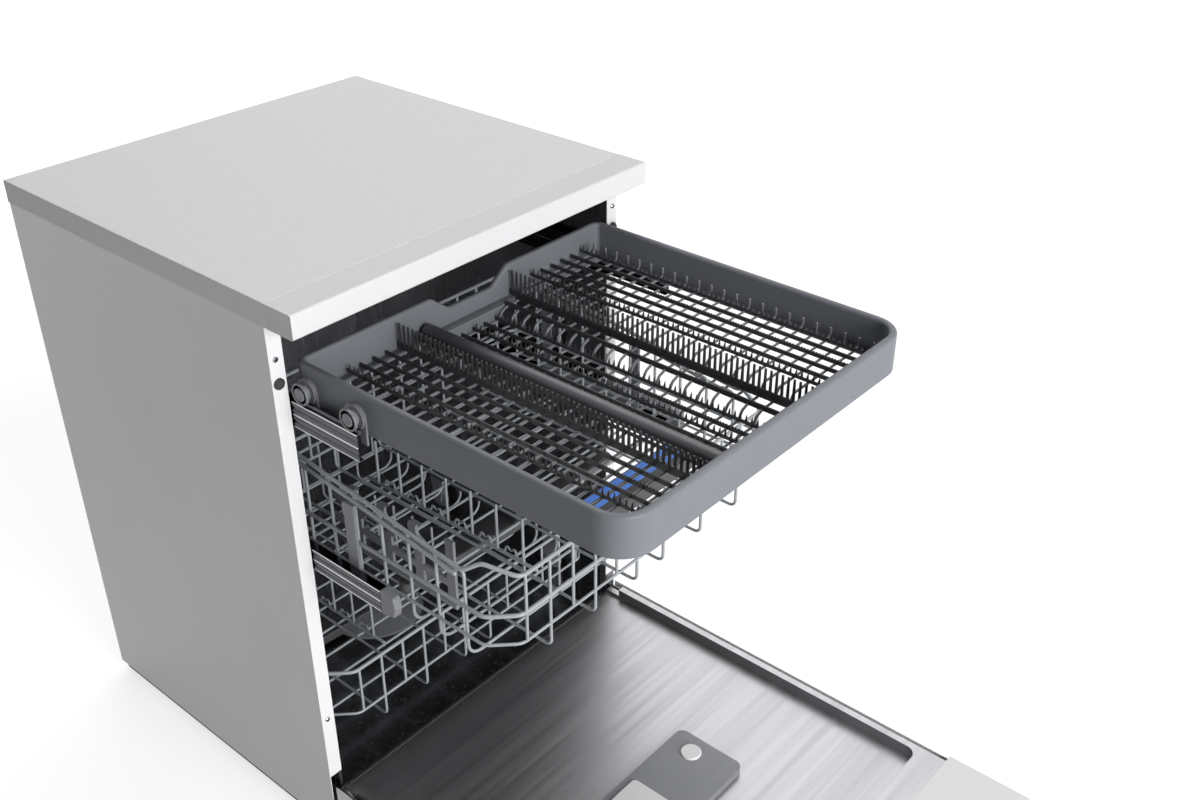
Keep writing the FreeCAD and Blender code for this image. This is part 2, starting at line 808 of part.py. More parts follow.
def motor(label, radius, length, start):
    """A pump lying along X: can, end bell and pump head, on a foot on the base floor."""
    floor = "base_bottom + base_wall"
    can = turned(label + "_can", [
        (0, 0), (f"{radius} * (1 - pump_bell)", 0), (radius, f"{radius} * pump_bell"),
        (radius, f"{length} * pump_can"), (f"{radius} * pump_waist", f"{length} * pump_can"),
        (f"{radius} * pump_waist", f"{length} * pump_neck"),
        (f"{radius} * pump_head", f"{length} * pump_neck"), (f"{radius} * pump_head", length), (0, length)],
        TO_X, (start, "sump_y", f"{floor} + {radius} * pump_head + base_wall"))
    foot = block(label + "_foot", (start, f"{start} + {length}"),
                 (f"sump_y - {radius} * pump_foot", f"sump_y + {radius} * pump_foot"),
                 (floor, f"{floor} + {radius} / 2"))
    keep(label, fuse(label, can, foot))


def spray_arm(label, span, y, low):
    """A flat tapered blade through a round hub, bored for its post, with a row of jets."""
    half, wide = f"({span}) / 2", "arm_width / 2"
    body = add(new_body(label), "XY_Plane",
               [(f"-{half}", "-arm_width / 4"), ("-hub_radius", f"-{wide}"), ("hub_radius", f"-{wide}"),
                (half, "-arm_width / 4"), (half, "arm_width / 4"), ("hub_radius", wide),
                ("-hub_radius", wide), (f"-{half}", "arm_width / 4")], 0, "arm_thick")
    soften(body, "arm_width / 5", runs_along("z"))
    soften(body, "arm_thick / 4", lambda edge: middle(edge).z > val("arm_thick") - 0.1)
    remove(body, "XY_Plane", ((0, 0), "post_radius + pin_clear"), -1, "arm_thick + 1")
    for side in (-1, 1):
        for step in JET_STEPS:
            remove(body, "XY_Plane", ((f"{side} * {step} * {half}", 0), "jet_radius"), "arm_thick / 2",
                   "arm_thick + 1")
    for axis, text in zip("xyz", (0, y, low)):
        body.setExpression(f"Placement.Base.{axis}", cell(text))
    keep(label, body)


def flange_fittings():
    x = "half_width - fixing_inset"
    screws = []
    for name, z in (("high", "top_under - screw_drop"), ("low", "tub_floor + 3 * screw_drop")):
        profile = [(0, 0), ("screw_radius", 0), ("screw_radius", "screw_radius * 0.3"),
                   ("screw_radius * 0.6", "screw_radius * 0.6"), (0, "screw_radius * 0.7")]
        screws.append(turned(f"screw_{name}", profile, TO_FRONT, (x, "front", z)))
    both_sides("flange_screws", *screws)
    dome = turned("bumper", [
        (0, 0), ("bumper_radius", 0), ("bumper_radius", "bumper_radius * 0.35"),
        ("bumper_radius * 0.7", "bumper_radius * 0.7"), (0, "bumper_radius * 0.8")],
        TO_FRONT, (x, "front", "top_under - bumper_drop"))
    both_sides("door_bumpers", dome)


# Door, lying open

def hinges():
    inner = "bracket_x"
    low, high = "pivot_height - bracket_height", "pivot_height + bracket_height / 2"
    plate = add(new_body("hinge_plate"), "YZ_Plane",
                [("pivot_y - bracket_height / 2", "pivot_height - bracket_height / 2"),
                 ("base_front", low), ("base_front", "base_top"), ("pivot_y", high),
                 ("pivot_y - bracket_height / 2", "pivot_height + bracket_height / 4")],
                inner, f"{inner} + bracket_thick")
    pin = rod("hinge_pin", "pin_radius", "2 * bracket_thick + pin_end",
              (inner, "pivot_y", "pivot_height"), TO_X)
    both_sides("hinge_brackets", fuse("hinge_bracket", plate, pin))
    near = f"{inner} + bracket_thick + side_clear"
    arm = add(new_body("hinge_arm"), "YZ_Plane",
              [("tail_y - sheet", "door_under + sheet"), ("tail_y - sheet", "pivot_height + 2 * pin_radius"),
               ("pivot_y - hinge_arm_shoulder", "pivot_height + 2 * pin_radius"),
               ("pivot_y - hinge_arm_length", "door_under + hinge_arm_toe"),
               ("pivot_y - hinge_arm_length", "door_under + sheet")], near, f"{near} + bracket_thick")
    remove(arm, "YZ_Plane", (("pivot_y", "pivot_height"), "pin_radius + pin_clear"), f"{near} - 1",
           f"{near} + bracket_thick + 1")
    both_sides("door_hinge_arms", arm)


def door_panels():
    wall = "door_half - sheet"
    pan = [("-door_half", "door_under"), ("door_half", "door_under"), ("door_half", "door_over - pan_drop"),
           (wall, "door_over - pan_drop"), (wall, "door_under + sheet"), (f"-({wall})", "door_under + sheet"),
           (f"-({wall})", "door_over - pan_drop"), ("-door_half", "door_over - pan_drop")]
    outer = add(new_body("door_outer_panel"), "XZ_Plane", pan, "fascia_y", "tail_y")
    add(outer, "XZ_Plane", rectangle(f"-({wall})", wall, "door_under", "tub_floor - 2 * sheet"),
        "fascia_y", "fascia_y + sheet")
    keep("door_outer_panel", outer)
    liner = add(new_body("door_liner"), "XY_Plane",
                rectangle("-liner_half", "liner_half", "fascia_y", "tail_y"),
                "tub_floor - sheet", "door_over")
    field = "liner_half - rim_width"
    remove(liner, "XY_Plane", rectangle(f"-({field})", field, "fascia_y + rim_tip", "tail_y + 1"),
           "tub_floor", "door_over + 1")
    remove(liner, "XY_Plane",
           rectangle("-liner_half - 1", "liner_half + 1", "pivot_y - rim_tail", "tail_y + 1"),
           "pivot_height + rim_tail_rise", "door_over + 1")
    shelf = val("fascia_y") + val("rim_tip")
    soften(liner, "5 * edge_round",
           lambda edge: runs_along("z")(edge) and abs(middle(edge).y - shelf) < 0.1)
    slot_y = "fascia_y + rim_tip / 2"
    slot = rectangle("-latch_width / 2", "latch_width / 2",
                     f"{slot_y} - latch_slot / 2", f"{slot_y} + latch_slot / 2")
    remove(liner, "XY_Plane", slot, "tub_floor + 2 * sheet", "door_over + 1")
    keep("door_liner", liner)


def control_fascia():
    """A hollow moulding with a grip recess and two button sleeves, open towards the door panels."""
    body = add(new_body("control_fascia"), "XY_Plane",
               rectangle("-door_half", "door_half", "tip_y", "fascia_y"), "door_under", "door_over")
    soften(body, "2 * edge_round",
           lambda edge: runs_along("x")(edge) and abs(middle(edge).y - val("tip_y")) < 0.1)
    remove(body, "XZ_Plane", rectangle("fascia_wall - door_half", "door_half - fascia_wall",
                                       "door_under + fascia_wall", "door_over - fascia_wall"),
           "tip_y + 2 * edge_round", "fascia_y + 1")
    grip_back, grip_front = "fascia_y - 3 * fascia_wall", "fascia_y - 3 * fascia_wall - grip_length"
    add(body, "XY_Plane",
        rectangle("-grip_width / 2 - fascia_wall", "grip_width / 2 + fascia_wall",
                  f"{grip_front} - fascia_wall", f"{grip_back} + fascia_wall"),
        "door_under", "door_under + grip_depth + fascia_wall")
    spots = [("power_button", "-door_half + button_pitch"), ("start_button", "door_half - button_pitch")]
    line = "(tip_y + fascia_y) / 2"
    for _, x in spots:
        add(body, "XY_Plane", ((x, line), "button_radius + side_clear + fascia_wall"), "door_under",
            "door_under + 4 * button_travel + fascia_wall")
    remove(body, "XY_Plane", rectangle("-grip_width / 2", "grip_width / 2", grip_front, grip_back),
           "door_under - 1", "door_under + grip_depth")
    for _, x in spots:
        remove(body, "XY_Plane", ((x, line), "button_radius + side_clear"), "door_under - 1",
               "door_under + 4 * button_travel")
    keep("control_fascia", body)
    for label, x in spots:
        profile = [(0, "-button_travel / 2"), ("button_radius * 0.8", "-button_travel / 2"),
                   ("button_radius", "-button_travel / 6"), ("button_radius", "2.5 * button_travel"),
                   (0, "2.5 * button_travel")]
        keep(label, turned(label, profile, at=(x, line, "door_under")))


def dispenser():
    mid = "pivot_y - dispenser_reach"
    top = "tub_floor + dispenser_rise"
    body = add(new_body("detergent_dispenser"), "XY_Plane",
               rectangle("-dispenser_width / 2", "dispenser_width / 2", f"{mid} - dispenser_length / 2",
                         f"{mid} + dispenser_length / 2"), "tub_floor", top)
    soften(body, "4 * edge_round", runs_along("z"))
    cup_x = "-dispenser_width / 2 + dispenser_margin"
    cup = rectangle(cup_x, f"{cup_x} + cup_width", f"{mid} - cup_length / 2", f"{mid} + cup_length / 2")
    remove(body, "XY_Plane", cup, f"{top} - cup_depth", f"{top} + 1")
    cap_at = ("dispenser_width / 2 - cap_radius - dispenser_margin", f"{mid} + cap_radius")
    remove(body, "XY_Plane", (cap_at, "cap_radius + rest_clear"), f"{top} - cup_depth", f"{top} + 1")
    keep("detergent_dispenser", body)
    lid = add(new_body("dispenser_lid"), "XY_Plane",
              rectangle(f"{cup_x} - lid_lap", f"{cup_x} + cup_width + lid_lap",
                        f"{mid} - cup_length / 2 - lid_lap", f"{mid} + cup_length / 2 + lid_lap"),
              top, f"{top} + lid_thick")
    soften(lid, "2 * edge_round", runs_along("z"))
    keep("dispenser_lid", lid)
    cap = turned("rinse_aid_cap", [
        (0, f"{top} - cup_depth"), ("cap_radius", f"{top} - cup_depth"),
        ("cap_radius", f"{top} + lid_thick / 2"), ("cap_radius - lid_thick / 2", f"{top} + lid_thick"),
        (0, f"{top} + lid_thick")], at=(*cap_at, 0))
    keep("rinse_aid_cap", cap)


# Cutlery tray

def tray_hollow(name, inset, low, high):
    """The space inside the tray, set in from its outline, with the same round front corners."""
    body = add(new_body(name), "XY_Plane",
               rectangle(f"{inset} - tray_half", f"tray_half - ({inset})", f"tray_front + {inset}",
                         f"tray_back - ({inset})"), low, high)
    mid = (val("tray_front") + val("tray_back")) / 2
    soften(body, f"tray_front_round - ({inset})", lambda edge: runs_along("z")(edge) and middle(edge).y < mid)
    return soften(body, "tray_inner_round", lambda edge: runs_along("z")(edge) and middle(edge).y > mid)


def tray_frame():
    body = add(new_body("tray_block"), "XY_Plane",
               rectangle("-tray_half", "tray_half", "tray_front", "tray_back"), "tray_bottom", "tray_top")
    front_edge = lambda edge: runs_along("z")(edge) and middle(edge).y < val("tray_front") + 1
    back_edge = lambda edge: runs_along("z")(edge) and middle(edge).y > val("tray_back") - 1
    soften(body, "tray_front_round", front_edge)
    soften(body, "tray_back_round", back_edge)
    inside = tray_hollow("tray_inside", "tray_wall", "insert_floor", "tray_top + 1")
    window = tray_hollow("tray_window", "tray_wall + tray_ledge", "tray_bottom - 1", "insert_floor + 1")
    dip = add(new_body("tray_dip"), "XZ_Plane",
              [("dip_centre - dip_floor / 2", "tray_top - dip_depth"),
               ("dip_centre + dip_floor / 2", "tray_top - dip_depth"),
               ("dip_centre + dip_mouth / 2", "tray_top + 1"),
               ("dip_centre - dip_mouth / 2", "tray_top + 1")],
              "tray_back - tray_wall - 1", "tray_back + 1")
    soften(dip, "dip_round", lambda edge: runs_along("y")(edge) and middle(edge).z < val("tray_top"))
    shell = cut("tray_shell", body, inside, window, dip)
    crest, reach = val("tray_top"), val("dip_mouth") / 2

    def over_dip(edge):
        return runs_along("y")(edge) and abs(middle(edge).x - val("dip_centre")) < 1.3 * reach

    def at_crest(edge):
        return edge.BoundBox.ZMin > crest - 0.01

    def on_back_wall(edge):
        box = edge.BoundBox
        walls = (val("tray_back"), val("tray_back") - val("tray_wall"))
        level = box.ZMin > crest - val("dip_depth") - 0.01
        return level and not runs_along("z")(edge) and any(
            abs(box.YMin - wall) + abs(box.YMax - wall) < 0.01 for wall in walls)

    mouth = round_off("tray_mouth", shell, "dip_round", lambda edge: at_crest(edge) and over_dip(edge))
    rounded = round_off("tray_rim", mouth, "tray_rim_round",
                        lambda edge: (at_crest(edge) or on_back_wall(edge)) and not over_dip(edge))
    keep("tray_frame", rounded)


def comb(x, base, height, bar, pitch, blunt):
    """A strip with a row of teeth; blunt is the flat share of each tooth's tip."""
    start = val("tray_front") + val("tray_wall") + val("insert_gap")
    end = val("tray_back") - val("tray_wall") - val("insert_gap")
    count = int((end - start) / pitch)
    margin = (end - start - count * pitch) / 2
    corners = [(end, base), (start, base), (start, base + bar)]
    for i in range(count):
        root = start + margin + i * pitch
        corners.append((root + val("tooth_root") * pitch, base + bar))
        if blunt:
            corners.append((root + (0.5 - blunt / 2) * pitch, base + height))
        corners.append((root + (0.5 + blunt / 2) * pitch, base + height))
        if blunt:
            corners.append((root + (1 - val("tooth_root")) * pitch, base + bar))
    corners.append((end, base + bar))
    left = x - val("bar_thick") / 2
    ring = [FreeCAD.Vector(left, y, z) for y, z in corners]
    face = Part.Face(Part.makePolygon(ring + ring[:1]))
    return face.extrude(FreeCAD.Vector(val("bar_thick"), 0, 0))


def bar(x, base, height, inset=0):
    start = val("tray_front") + val("tray_wall") + val("insert_gap") + inset
    end = val("tray_back") - val("tray_wall") - val("insert_gap") - inset
    return Part.makeBox(val("bar_thick"), end - start, height,
                        FreeCAD.Vector(x - val("bar_thick") / 2, start, base))


def between(first, last, count):
    """Even places between two others."""
    return [first + (last - first) * (i + 1) / (count + 1) for i in range(count)]


def corner_loss(y):
    """How much narrower the tray is inside at y, for its round corners."""
    loss = 0
    from_front = y - val("tray_front") - val("tray_wall")
    from_back = val("tray_back") - val("tray_wall") - y
    for wall, radius in ((from_front, val("tray_front_round") - val("tray_wall")),
                         (from_back, val("tray_inner_round"))):
        if wall < radius:
            loss = max(loss, radius - math.sqrt(radius ** 2 - (radius - wall) ** 2))
    return loss


def slats(x_low, x_high):
    """Cross slats on the tray's ledge, one every slat pitch."""
    room = val("tray_half") - val("tray_wall") - val("slat_gap")
    start = val("tray_front") + val("tray_wall") + val("tray_ledge")
    end = val("tray_back") - val("tray_wall") - val("tray_ledge")
    count = int((end - start) / val("slat_pitch"))
    first = (start + end - count * val("slat_pitch")) / 2
    made = []
    for i in range(count + 1):
        y = first + i * val("slat_pitch") - val("slat_width") / 2
        half = room - max(corner_loss(y), corner_loss(y + val("slat_width")))
        low, high = max(x_low, -half), min(x_high, half)
        made.append(Part.makeBox(high - low, val("slat_width"), val("slat_thick"),
                                 FreeCAD.Vector(low, y, val("insert_floor") + val("rest_clear"))))
    return made


def trough_ribs(x_low, x_high):
    """Cross ribs that sag between two bars."""
    ribs = []
    middle_x = (x_low + x_high) / 2
    top = val("insert_floor") + val("rest_clear") + val("slat_thick")
    for slat in slats(x_low, x_high):
        y = slat.BoundBox.YMin
        bands = []
        for level, turn in ((top, 1), (top - val("slat_thick"), -1)):
            ends = [FreeCAD.Vector(x_low, y, level), FreeCAD.Vector(x_high, y, level)][::turn]
            low = FreeCAD.Vector(middle_x, y, level - val("trough_depth"))
            bands.append((ends, Part.Arc(ends[0], low, ends[1]).toShape()))
        (upper, upper_arc), (lower, lower_arc) = bands
        outline = Part.Wire([upper_arc, Part.makeLine(upper[1], lower[0]), lower_arc,
                             Part.makeLine(lower[1], upper[0])])
        ribs.append(Part.Face(outline).extrude(FreeCAD.Vector(0, val("slat_width"), 0)))
    return ribs


def keel(x, x_low, x_high, deck):
    """A bar that stands on the sagging ribs of a trough."""
    half, sag = (x_high - x_low) / 2, val("trough_depth")
    radius = (half ** 2 + sag ** 2) / (2 * sag)
    off = abs(x - (x_low + x_high) / 2) + val("bar_thick") / 2
    drop = math.sqrt(radius ** 2 - off ** 2) - (radius - sag)
    return bar(x, deck - drop, drop + val("keel_rise"), val("tray_ledge"))


def tray_inserts():
    edge = val("tray_half") - val("tray_wall") - val("slat_gap")
    deck = val("insert_floor") + val("rest_clear") + val("slat_thick")
    low = lambda x: comb(x, deck, val("low_comb_height"), val("bar_height"), val("tooth_pitch"), 0)
    tall = lambda x: comb(x, deck, val("tall_comb_height"), val("bar_height"), val("tooth_pitch"),
                          val("tall_tooth_tip"))
    beam = lambda x: bar(x, deck, val("bar_height"))
    tube = val("tube_centre")
    gap, inset = val("tube_radius") + val("tube_gap"), val("comb_inset")
    left_end = tube - gap
    left = slats(-edge, left_end)
    left_outer, left_tall = val("left_comb_margin") - edge, val("left_comb_tall")
    left += [low(left_outer), low(val("left_comb_inner")), low(left_end - inset), tall(left_tall)]
    left += [beam(x) for x in between(left_outer, left_tall, int(val("left_bar_count")))]
    keep("tray_insert_left", plain("tray_insert_left", Part.makeCompound(left)))
    right_start = tube + gap
    trough_low, trough_high = val("trough_low"), val("trough_high")
    right = slats(right_start, trough_low) + slats(trough_high, edge) + trough_ribs(trough_low, trough_high)
    right_inner, right_outer = val("right_comb_inner"), edge - val("right_comb_margin")
    right += [low(right_start + 2 * inset), low(trough_low - inset), low(right_inner), low(right_outer)]
    right += [tall(trough_high + inset), beam(val("middle_bar"))]
    right += [keel(val("keel_centre"), trough_low, trough_high, deck)]
    right += [beam(x) for x in between(right_inner, right_outer, int(val("right_bar_count")))]
    keep("tray_insert_right", plain("tray_insert_right", Part.makeCompound(right)))
    length = "tray_depth - 2 * tray_wall - 2 * tube_end_gap"
    keep("tray_tube", turned("tray_tube", [
        (0, 0), ("tube_radius * 0.7", 0), ("tube_radius", "tube_radius * 0.4"),
        ("tube_radius", f"{length} - tube_radius * 0.4"), ("tube_radius * 0.7", length), (0, length)],
        TO_Y, ("tube_centre", "tray_front + tray_wall + tube_end_gap",
               "insert_floor + tube_radius + rest_clear")))


def tray_running_gear():
    rear = "tray_back - tray_roller_back"
    rows = {"rear": rear, "front": f"{rear} - tray_roller_span"}
    carriers = []
    inner = "rail_side - tray_rail_depth - groove_clear"
    for row, y in rows.items():
        plate = block(f"carrier_plate_{row}", ("tray_half", "tray_half + carrier_thick"),
                      (f"{y} - flange_inner", f"{y} + flange_inner"),
                      ("tray_bottom - carrier_leg", "tray_roller_z"))
        arch = rod(f"carrier_arch_{row}", "flange_inner", "carrier_thick",
                   ("tray_half", y, "tray_roller_z"), TO_X)
        axle = rod(f"carrier_axle_{row}", "axle_radius", "rail_side + side_clear - tray_half",
                   ("tray_half", y, "tray_roller_z"), TO_X)
        slot = block(f"carrier_slot_{row}", ("tray_half - 1", "tray_half + carrier_thick + 1"),
                     (f"{y} - flange_inner / 3", f"{y} + flange_inner / 3"),
                     ("tray_bottom - carrier_leg - 1", "tray_bottom"))
        carriers.append(cut(f"carrier_{row}", fuse(f"carrier_body_{row}", plate, arch, axle), slot))
        groove_low, groove_high = inner, "rail_side - tray_rail_depth + rail_head_width + groove_clear"
        profile = [("axle_radius + pin_clear", "tray_half + carrier_thick + side_clear"),
                   ("flange_inner", "tray_half + carrier_thick + side_clear"), ("flange_inner", groove_low),
                   ("groove_radius", groove_low), ("groove_radius", groove_high),
                   ("flange_outer", groove_high), ("flange_outer", "rail_side"),
                   ("axle_radius + pin_clear", "rail_side")]
        roller = turned(f"tray_roller_{row}", profile, TO_X, (0, y, "tray_roller_z"))
        both_sides(f"tray_rollers_{row}", roller)
    both_sides("tray_roller_carriers", *carriers)
    side, depth, gauge = "rail_side", "rail_side - tray_rail_depth", "tray_rail_gauge"
    low, top = "tray_rail_low", "tray_rail_top"
    head = "rail_side - tray_rail_depth + rail_head_width"
    profile = [(side, low), (side, top), (head, top), (head, f"{top} + rail_head_height"),
               (depth, f"{top} + rail_head_height"), (depth, f"{top} - {gauge}"),
               (f"{side} - {gauge}", f"{top} - {gauge}"), (f"{side} - {gauge}", f"{low} + {gauge}"),
               (depth, f"{low} + {gauge}"), (depth, low)]
    rail = add(new_body("tray_rail"), "XZ_Plane", profile, "front - tray_rail_reach",
               "front - tray_rail_reach + tray_rail_length")
    both_sides("tray_rails", rail)


def rail_guides():
    """Plastic hooks on the tub wall that hold the rails from below."""
    hooks = []
    for name, low, depth, height, pitch in (
            ("tray", "tray_rail_low", "tray_rail_depth", "tray_rail_height", "tray_guide_pitch"),
            ("upper", "upper_rail_low", "upper_rail_depth", "upper_rail_height", "upper_guide_pitch")):
        lip = f"rail_side - {depth} - rest_clear"
        wall_high = f"{low} + {height} - guide_short"
        profile = [("tub_half", f"{low} - guide_under"), ("tub_half", wall_high),
                   ("rail_side + rest_clear", wall_high), ("rail_side + rest_clear", f"{low} - rest_clear"),
                   (lip, f"{low} - rest_clear"), (lip, f"{low} + guide_lip"),
                   (f"{lip} - guide_thick", f"{low} + guide_lip"),
                   (f"{lip} - guide_thick", f"{low} - guide_under")]
        for start in ("front + guide_first", f"front + guide_first + {pitch}"):
            hook = new_body(f"guide_{name}")
            hooks.append(add(hook, "XZ_Plane", profile, start, f"{start} + guide_length"))
    both_sides("rail_guides", *hooks)


# Baskets

def cross_rows(front, depth):
    pitch = val("cross_pitch")
    count = int((depth - 2 * val("corner_cut")) / pitch)
    first = front + depth - val("wire") * 4
    return [first - i * pitch for i in range(count + 1)]


def long_rows():
    rows = int((val("basket_half") - val("floor_bend") - val("long_first")) / val("long_pitch")) + 1
    return [val("long_first") + i * val("long_pitch") for i in range(rows)]


def cradle(front, back, floor, rim_at, front_top, back_top, ring):
    """The welded wires that make a basket's floor and walls, every second one ending at a ring."""
    half, bend, wire = val("basket_half"), val("floor_bend"), val("wire")
    rods = []
    for y in cross_rows(front, back - front):
        top = rim_at(y)
        rods += bent_wire([(-half, y, top), (-half, y, floor + bend), (bend - half, y, floor),
                           (half - bend, y, floor), (half, y, floor + bend), (half, y, top)], wire)
    deck, sharp = floor + 2 * wire, val("long_bend")
    for i, spot in enumerate(long_rows()):
        for x in (-spot, spot):
            if i % 2:
                rods += bent_wire([(x, front, front_top), (x, front, ring)], wire)
                rods += bent_wire([(x, back, ring), (x, back, back_top)], wire)
            else:
                rods += bent_wire([(x, front, front_top), (x, front, deck + sharp),
                                   (x, front + sharp, deck), (x, back - sharp, deck),
                                   (x, back, deck + sharp), (x, back, back_top)], wire)
    return rods


def tier(front, back, z, radius):
    """A closed wire round the basket, cut across its front corners."""
    half, cut_off = val("basket_half"), val("corner_cut")
    corners = [(-half, back, z), (-half, front + cut_off, z), (cut_off - half, front, z),
               (half - cut_off, front, z), (half, front + cut_off, z), (half, back, z)]
    return bent_wire(corners, radius, closed=True)


def upper_basket():
    front, back, floor = val("upper_front"), val("upper_back"), val("upper_floor")
    half, low = val("basket_half"), val("upper_rim")
    bend_y = front + 2 * val("corner_cut")

    def rim_at(y):
        return low + val("upper_rise") * max(0, y - bend_y) / (back - bend_y)

    rods = cradle(front, back, floor, rim_at, low, rim_at(back), val("upper_tier_three"))
    jog = half - val("corner_cut")
    nose = low + val("rim_front_rise")
    knee_x, knee_y = half - val("rim_jog_in"), bend_y - val("rim_jog_along")
    knee_z = low + val("rim_jog_rise")
    rods += bent_wire([(-half, back, rim_at(back)), (-half, bend_y, low), (-knee_x, knee_y, knee_z),
                       (-jog, front, nose), (jog, front, nose), (knee_x, knee_y, knee_z),
                       (half, bend_y, low), (half, back, rim_at(back))], val("rim_wire"), closed=True)
    rods += tier(front, back, val("upper_tier_two"), val("rim_wire"))
    rods += tier(front, back, val("upper_tier_three"), val("wire"))
    twin = val("rim_twin_drop")
    for side in (-half, half):
        rods += bent_wire([(side, back, rim_at(back) - twin), (side, bend_y, low - twin)], val("wire"))
    keep("upper_basket_wires", plain("upper_basket_wires", Part.makeCompound(rods)))
    tine_row("upper_tines", val("upper_tine_x"), val("rod_top_upper"), front, back, val("tine_height"))
    crest, slack = "upper_rim + rim_front_rise", "(rim_wire + rest_clear)"
    skirt, saddle = f"{crest} - handle_skirt", f"{crest} + {slack}"
    near, far = f"upper_front - {slack}", f"upper_front + {slack}"
    outside = f"{near} - handle_wall"
    handle = add(new_body("upper_handle"), "YZ_Plane",
                 [(outside, skirt), (near, skirt), (near, saddle), (far, saddle), (far, skirt),
                  (f"{far} + handle_wall", skirt), (f"{far} + handle_wall", f"{crest} + handle_lip"),
                  (f"{outside} + handle_depth", f"{crest} + 2 * handle_lip"),
                  (f"{outside} + handle_depth", f"{crest} + 3 * handle_lip"),
                  (outside, f"{crest} + handle_crown")],
                 "-handle_width / 2", "handle_width / 2")
    keep("upper_handle", handle)
    duct = block("upper_duct", ("-duct_width / 3", "duct_width / 3"),
                 ("upper_mid - hub_radius", "upper_back - upper_duct_end"),
                 ("upper_spigot_top", "upper_floor - wire"))
    spigot = rod("upper_spigot", "post_radius", "spigot_drop",
                 (0, "upper_mid", "upper_spigot_top - spigot_drop"))
    collar = rod("upper_collar", "post_radius + collar_rim", "collar_thick",
                 (0, "upper_mid", "upper_spigot_top - spigot_drop - collar_thick"))
    keep("upper_feed_duct", fuse("upper_feed_duct", duct, spigot, collar))


def tine_row(label, x, low, front, back, height):
    """Prongs on a rod along Y that turns over the basket floor."""
    radius, prong = val("tine_wire"), val("wire")
    axis_z = low + radius
    foot_z = axis_z + val("tine_root") * radius
    rows = cross_rows(front, back - front)[1:int(val("tine_count")) + 1]
    offset = val("cross_pitch") / 2
    start, end = rows[-1] - 2 * offset, rows[0]
    rods = [Part.makeCylinder(radius, end - start, FreeCAD.Vector(x, start, axis_z), FreeCAD.Vector(0, 1, 0))]
    for y in rows:
        rods.append(Part.makeCylinder(prong, height, FreeCAD.Vector(x, y - offset, foot_z)))
    keep(label, plain(label, Part.makeCompound(rods)))


def curled_finger(x, y, top, swing):
    """The S-shaped upper end of a shelf finger, whose lower end stands at y."""
    hook, width = val("shelf_hook"), val("shelf_post")

    def edge(offset):
        spots = [FreeCAD.Vector(x, y + offset + aside, top - share * hook)
                 for aside, share in ((0, 1), (-swing, 0.75), (0, 0.5), (swing, 0.25), (0, 0))]
        return [Part.Arc(*spots[:3]).toShape(), Part.Arc(*spots[2:]).toShape()], spots[0], spots[-1]

    near, near_low, near_high = edge(0)
    far, far_low, far_high = edge(width)
    outline = Part.Wire(Part.__sortEdges__(
        near + far + [Part.makeLine(near_low, far_low), Part.makeLine(near_high, far_high)]))
    return Part.Face(outline).extrude(FreeCAD.Vector(val("shelf_thick"), 0, 0))


def cup_shelf():
    """An upright rack on a turning rod, with curled fingers that hold stems."""
    rows = cross_rows(val("upper_front"), val("upper_depth"))
    start = rows[-2] + val("cross_pitch") / 2
    pitch, count = val("shelf_pitch"), int(val("shelf_count"))
    length = pitch * count
    radius, thick = val("shelf_rod"), val("shelf_thick")
    x, axis_z = val("shelf_x"), val("rod_top_upper") + radius
    top = axis_z + val("shelf_height")
    shape = Part.makeCylinder(radius, length, FreeCAD.Vector(x, start, axis_z), FreeCAD.Vector(0, 1, 0))
    left = x - thick / 2
    for level in ("shelf_low_share", "shelf_high_share"):
        base = FreeCAD.Vector(left, start, axis_z + val(level) * val("shelf_height"))
        shape = shape.fuse(Part.makeBox(thick, length, val("shelf_rail"), base))
    width, hook = val("shelf_post"), val("shelf_hook")
    shape = shape.fuse(Part.makeBox(thick, width, top - axis_z, FreeCAD.Vector(left, start, axis_z)))
    for i in range(1, count):
        y = start + i * pitch
        stem = Part.makeBox(thick, width, top - axis_z - hook, FreeCAD.Vector(left, y, axis_z))
        shape = shape.fuse([stem, curled_finger(left, y, top, val("shelf_swing"))])
    keep("cup_shelf", plain("cup_shelf", shape.removeSplitter()))


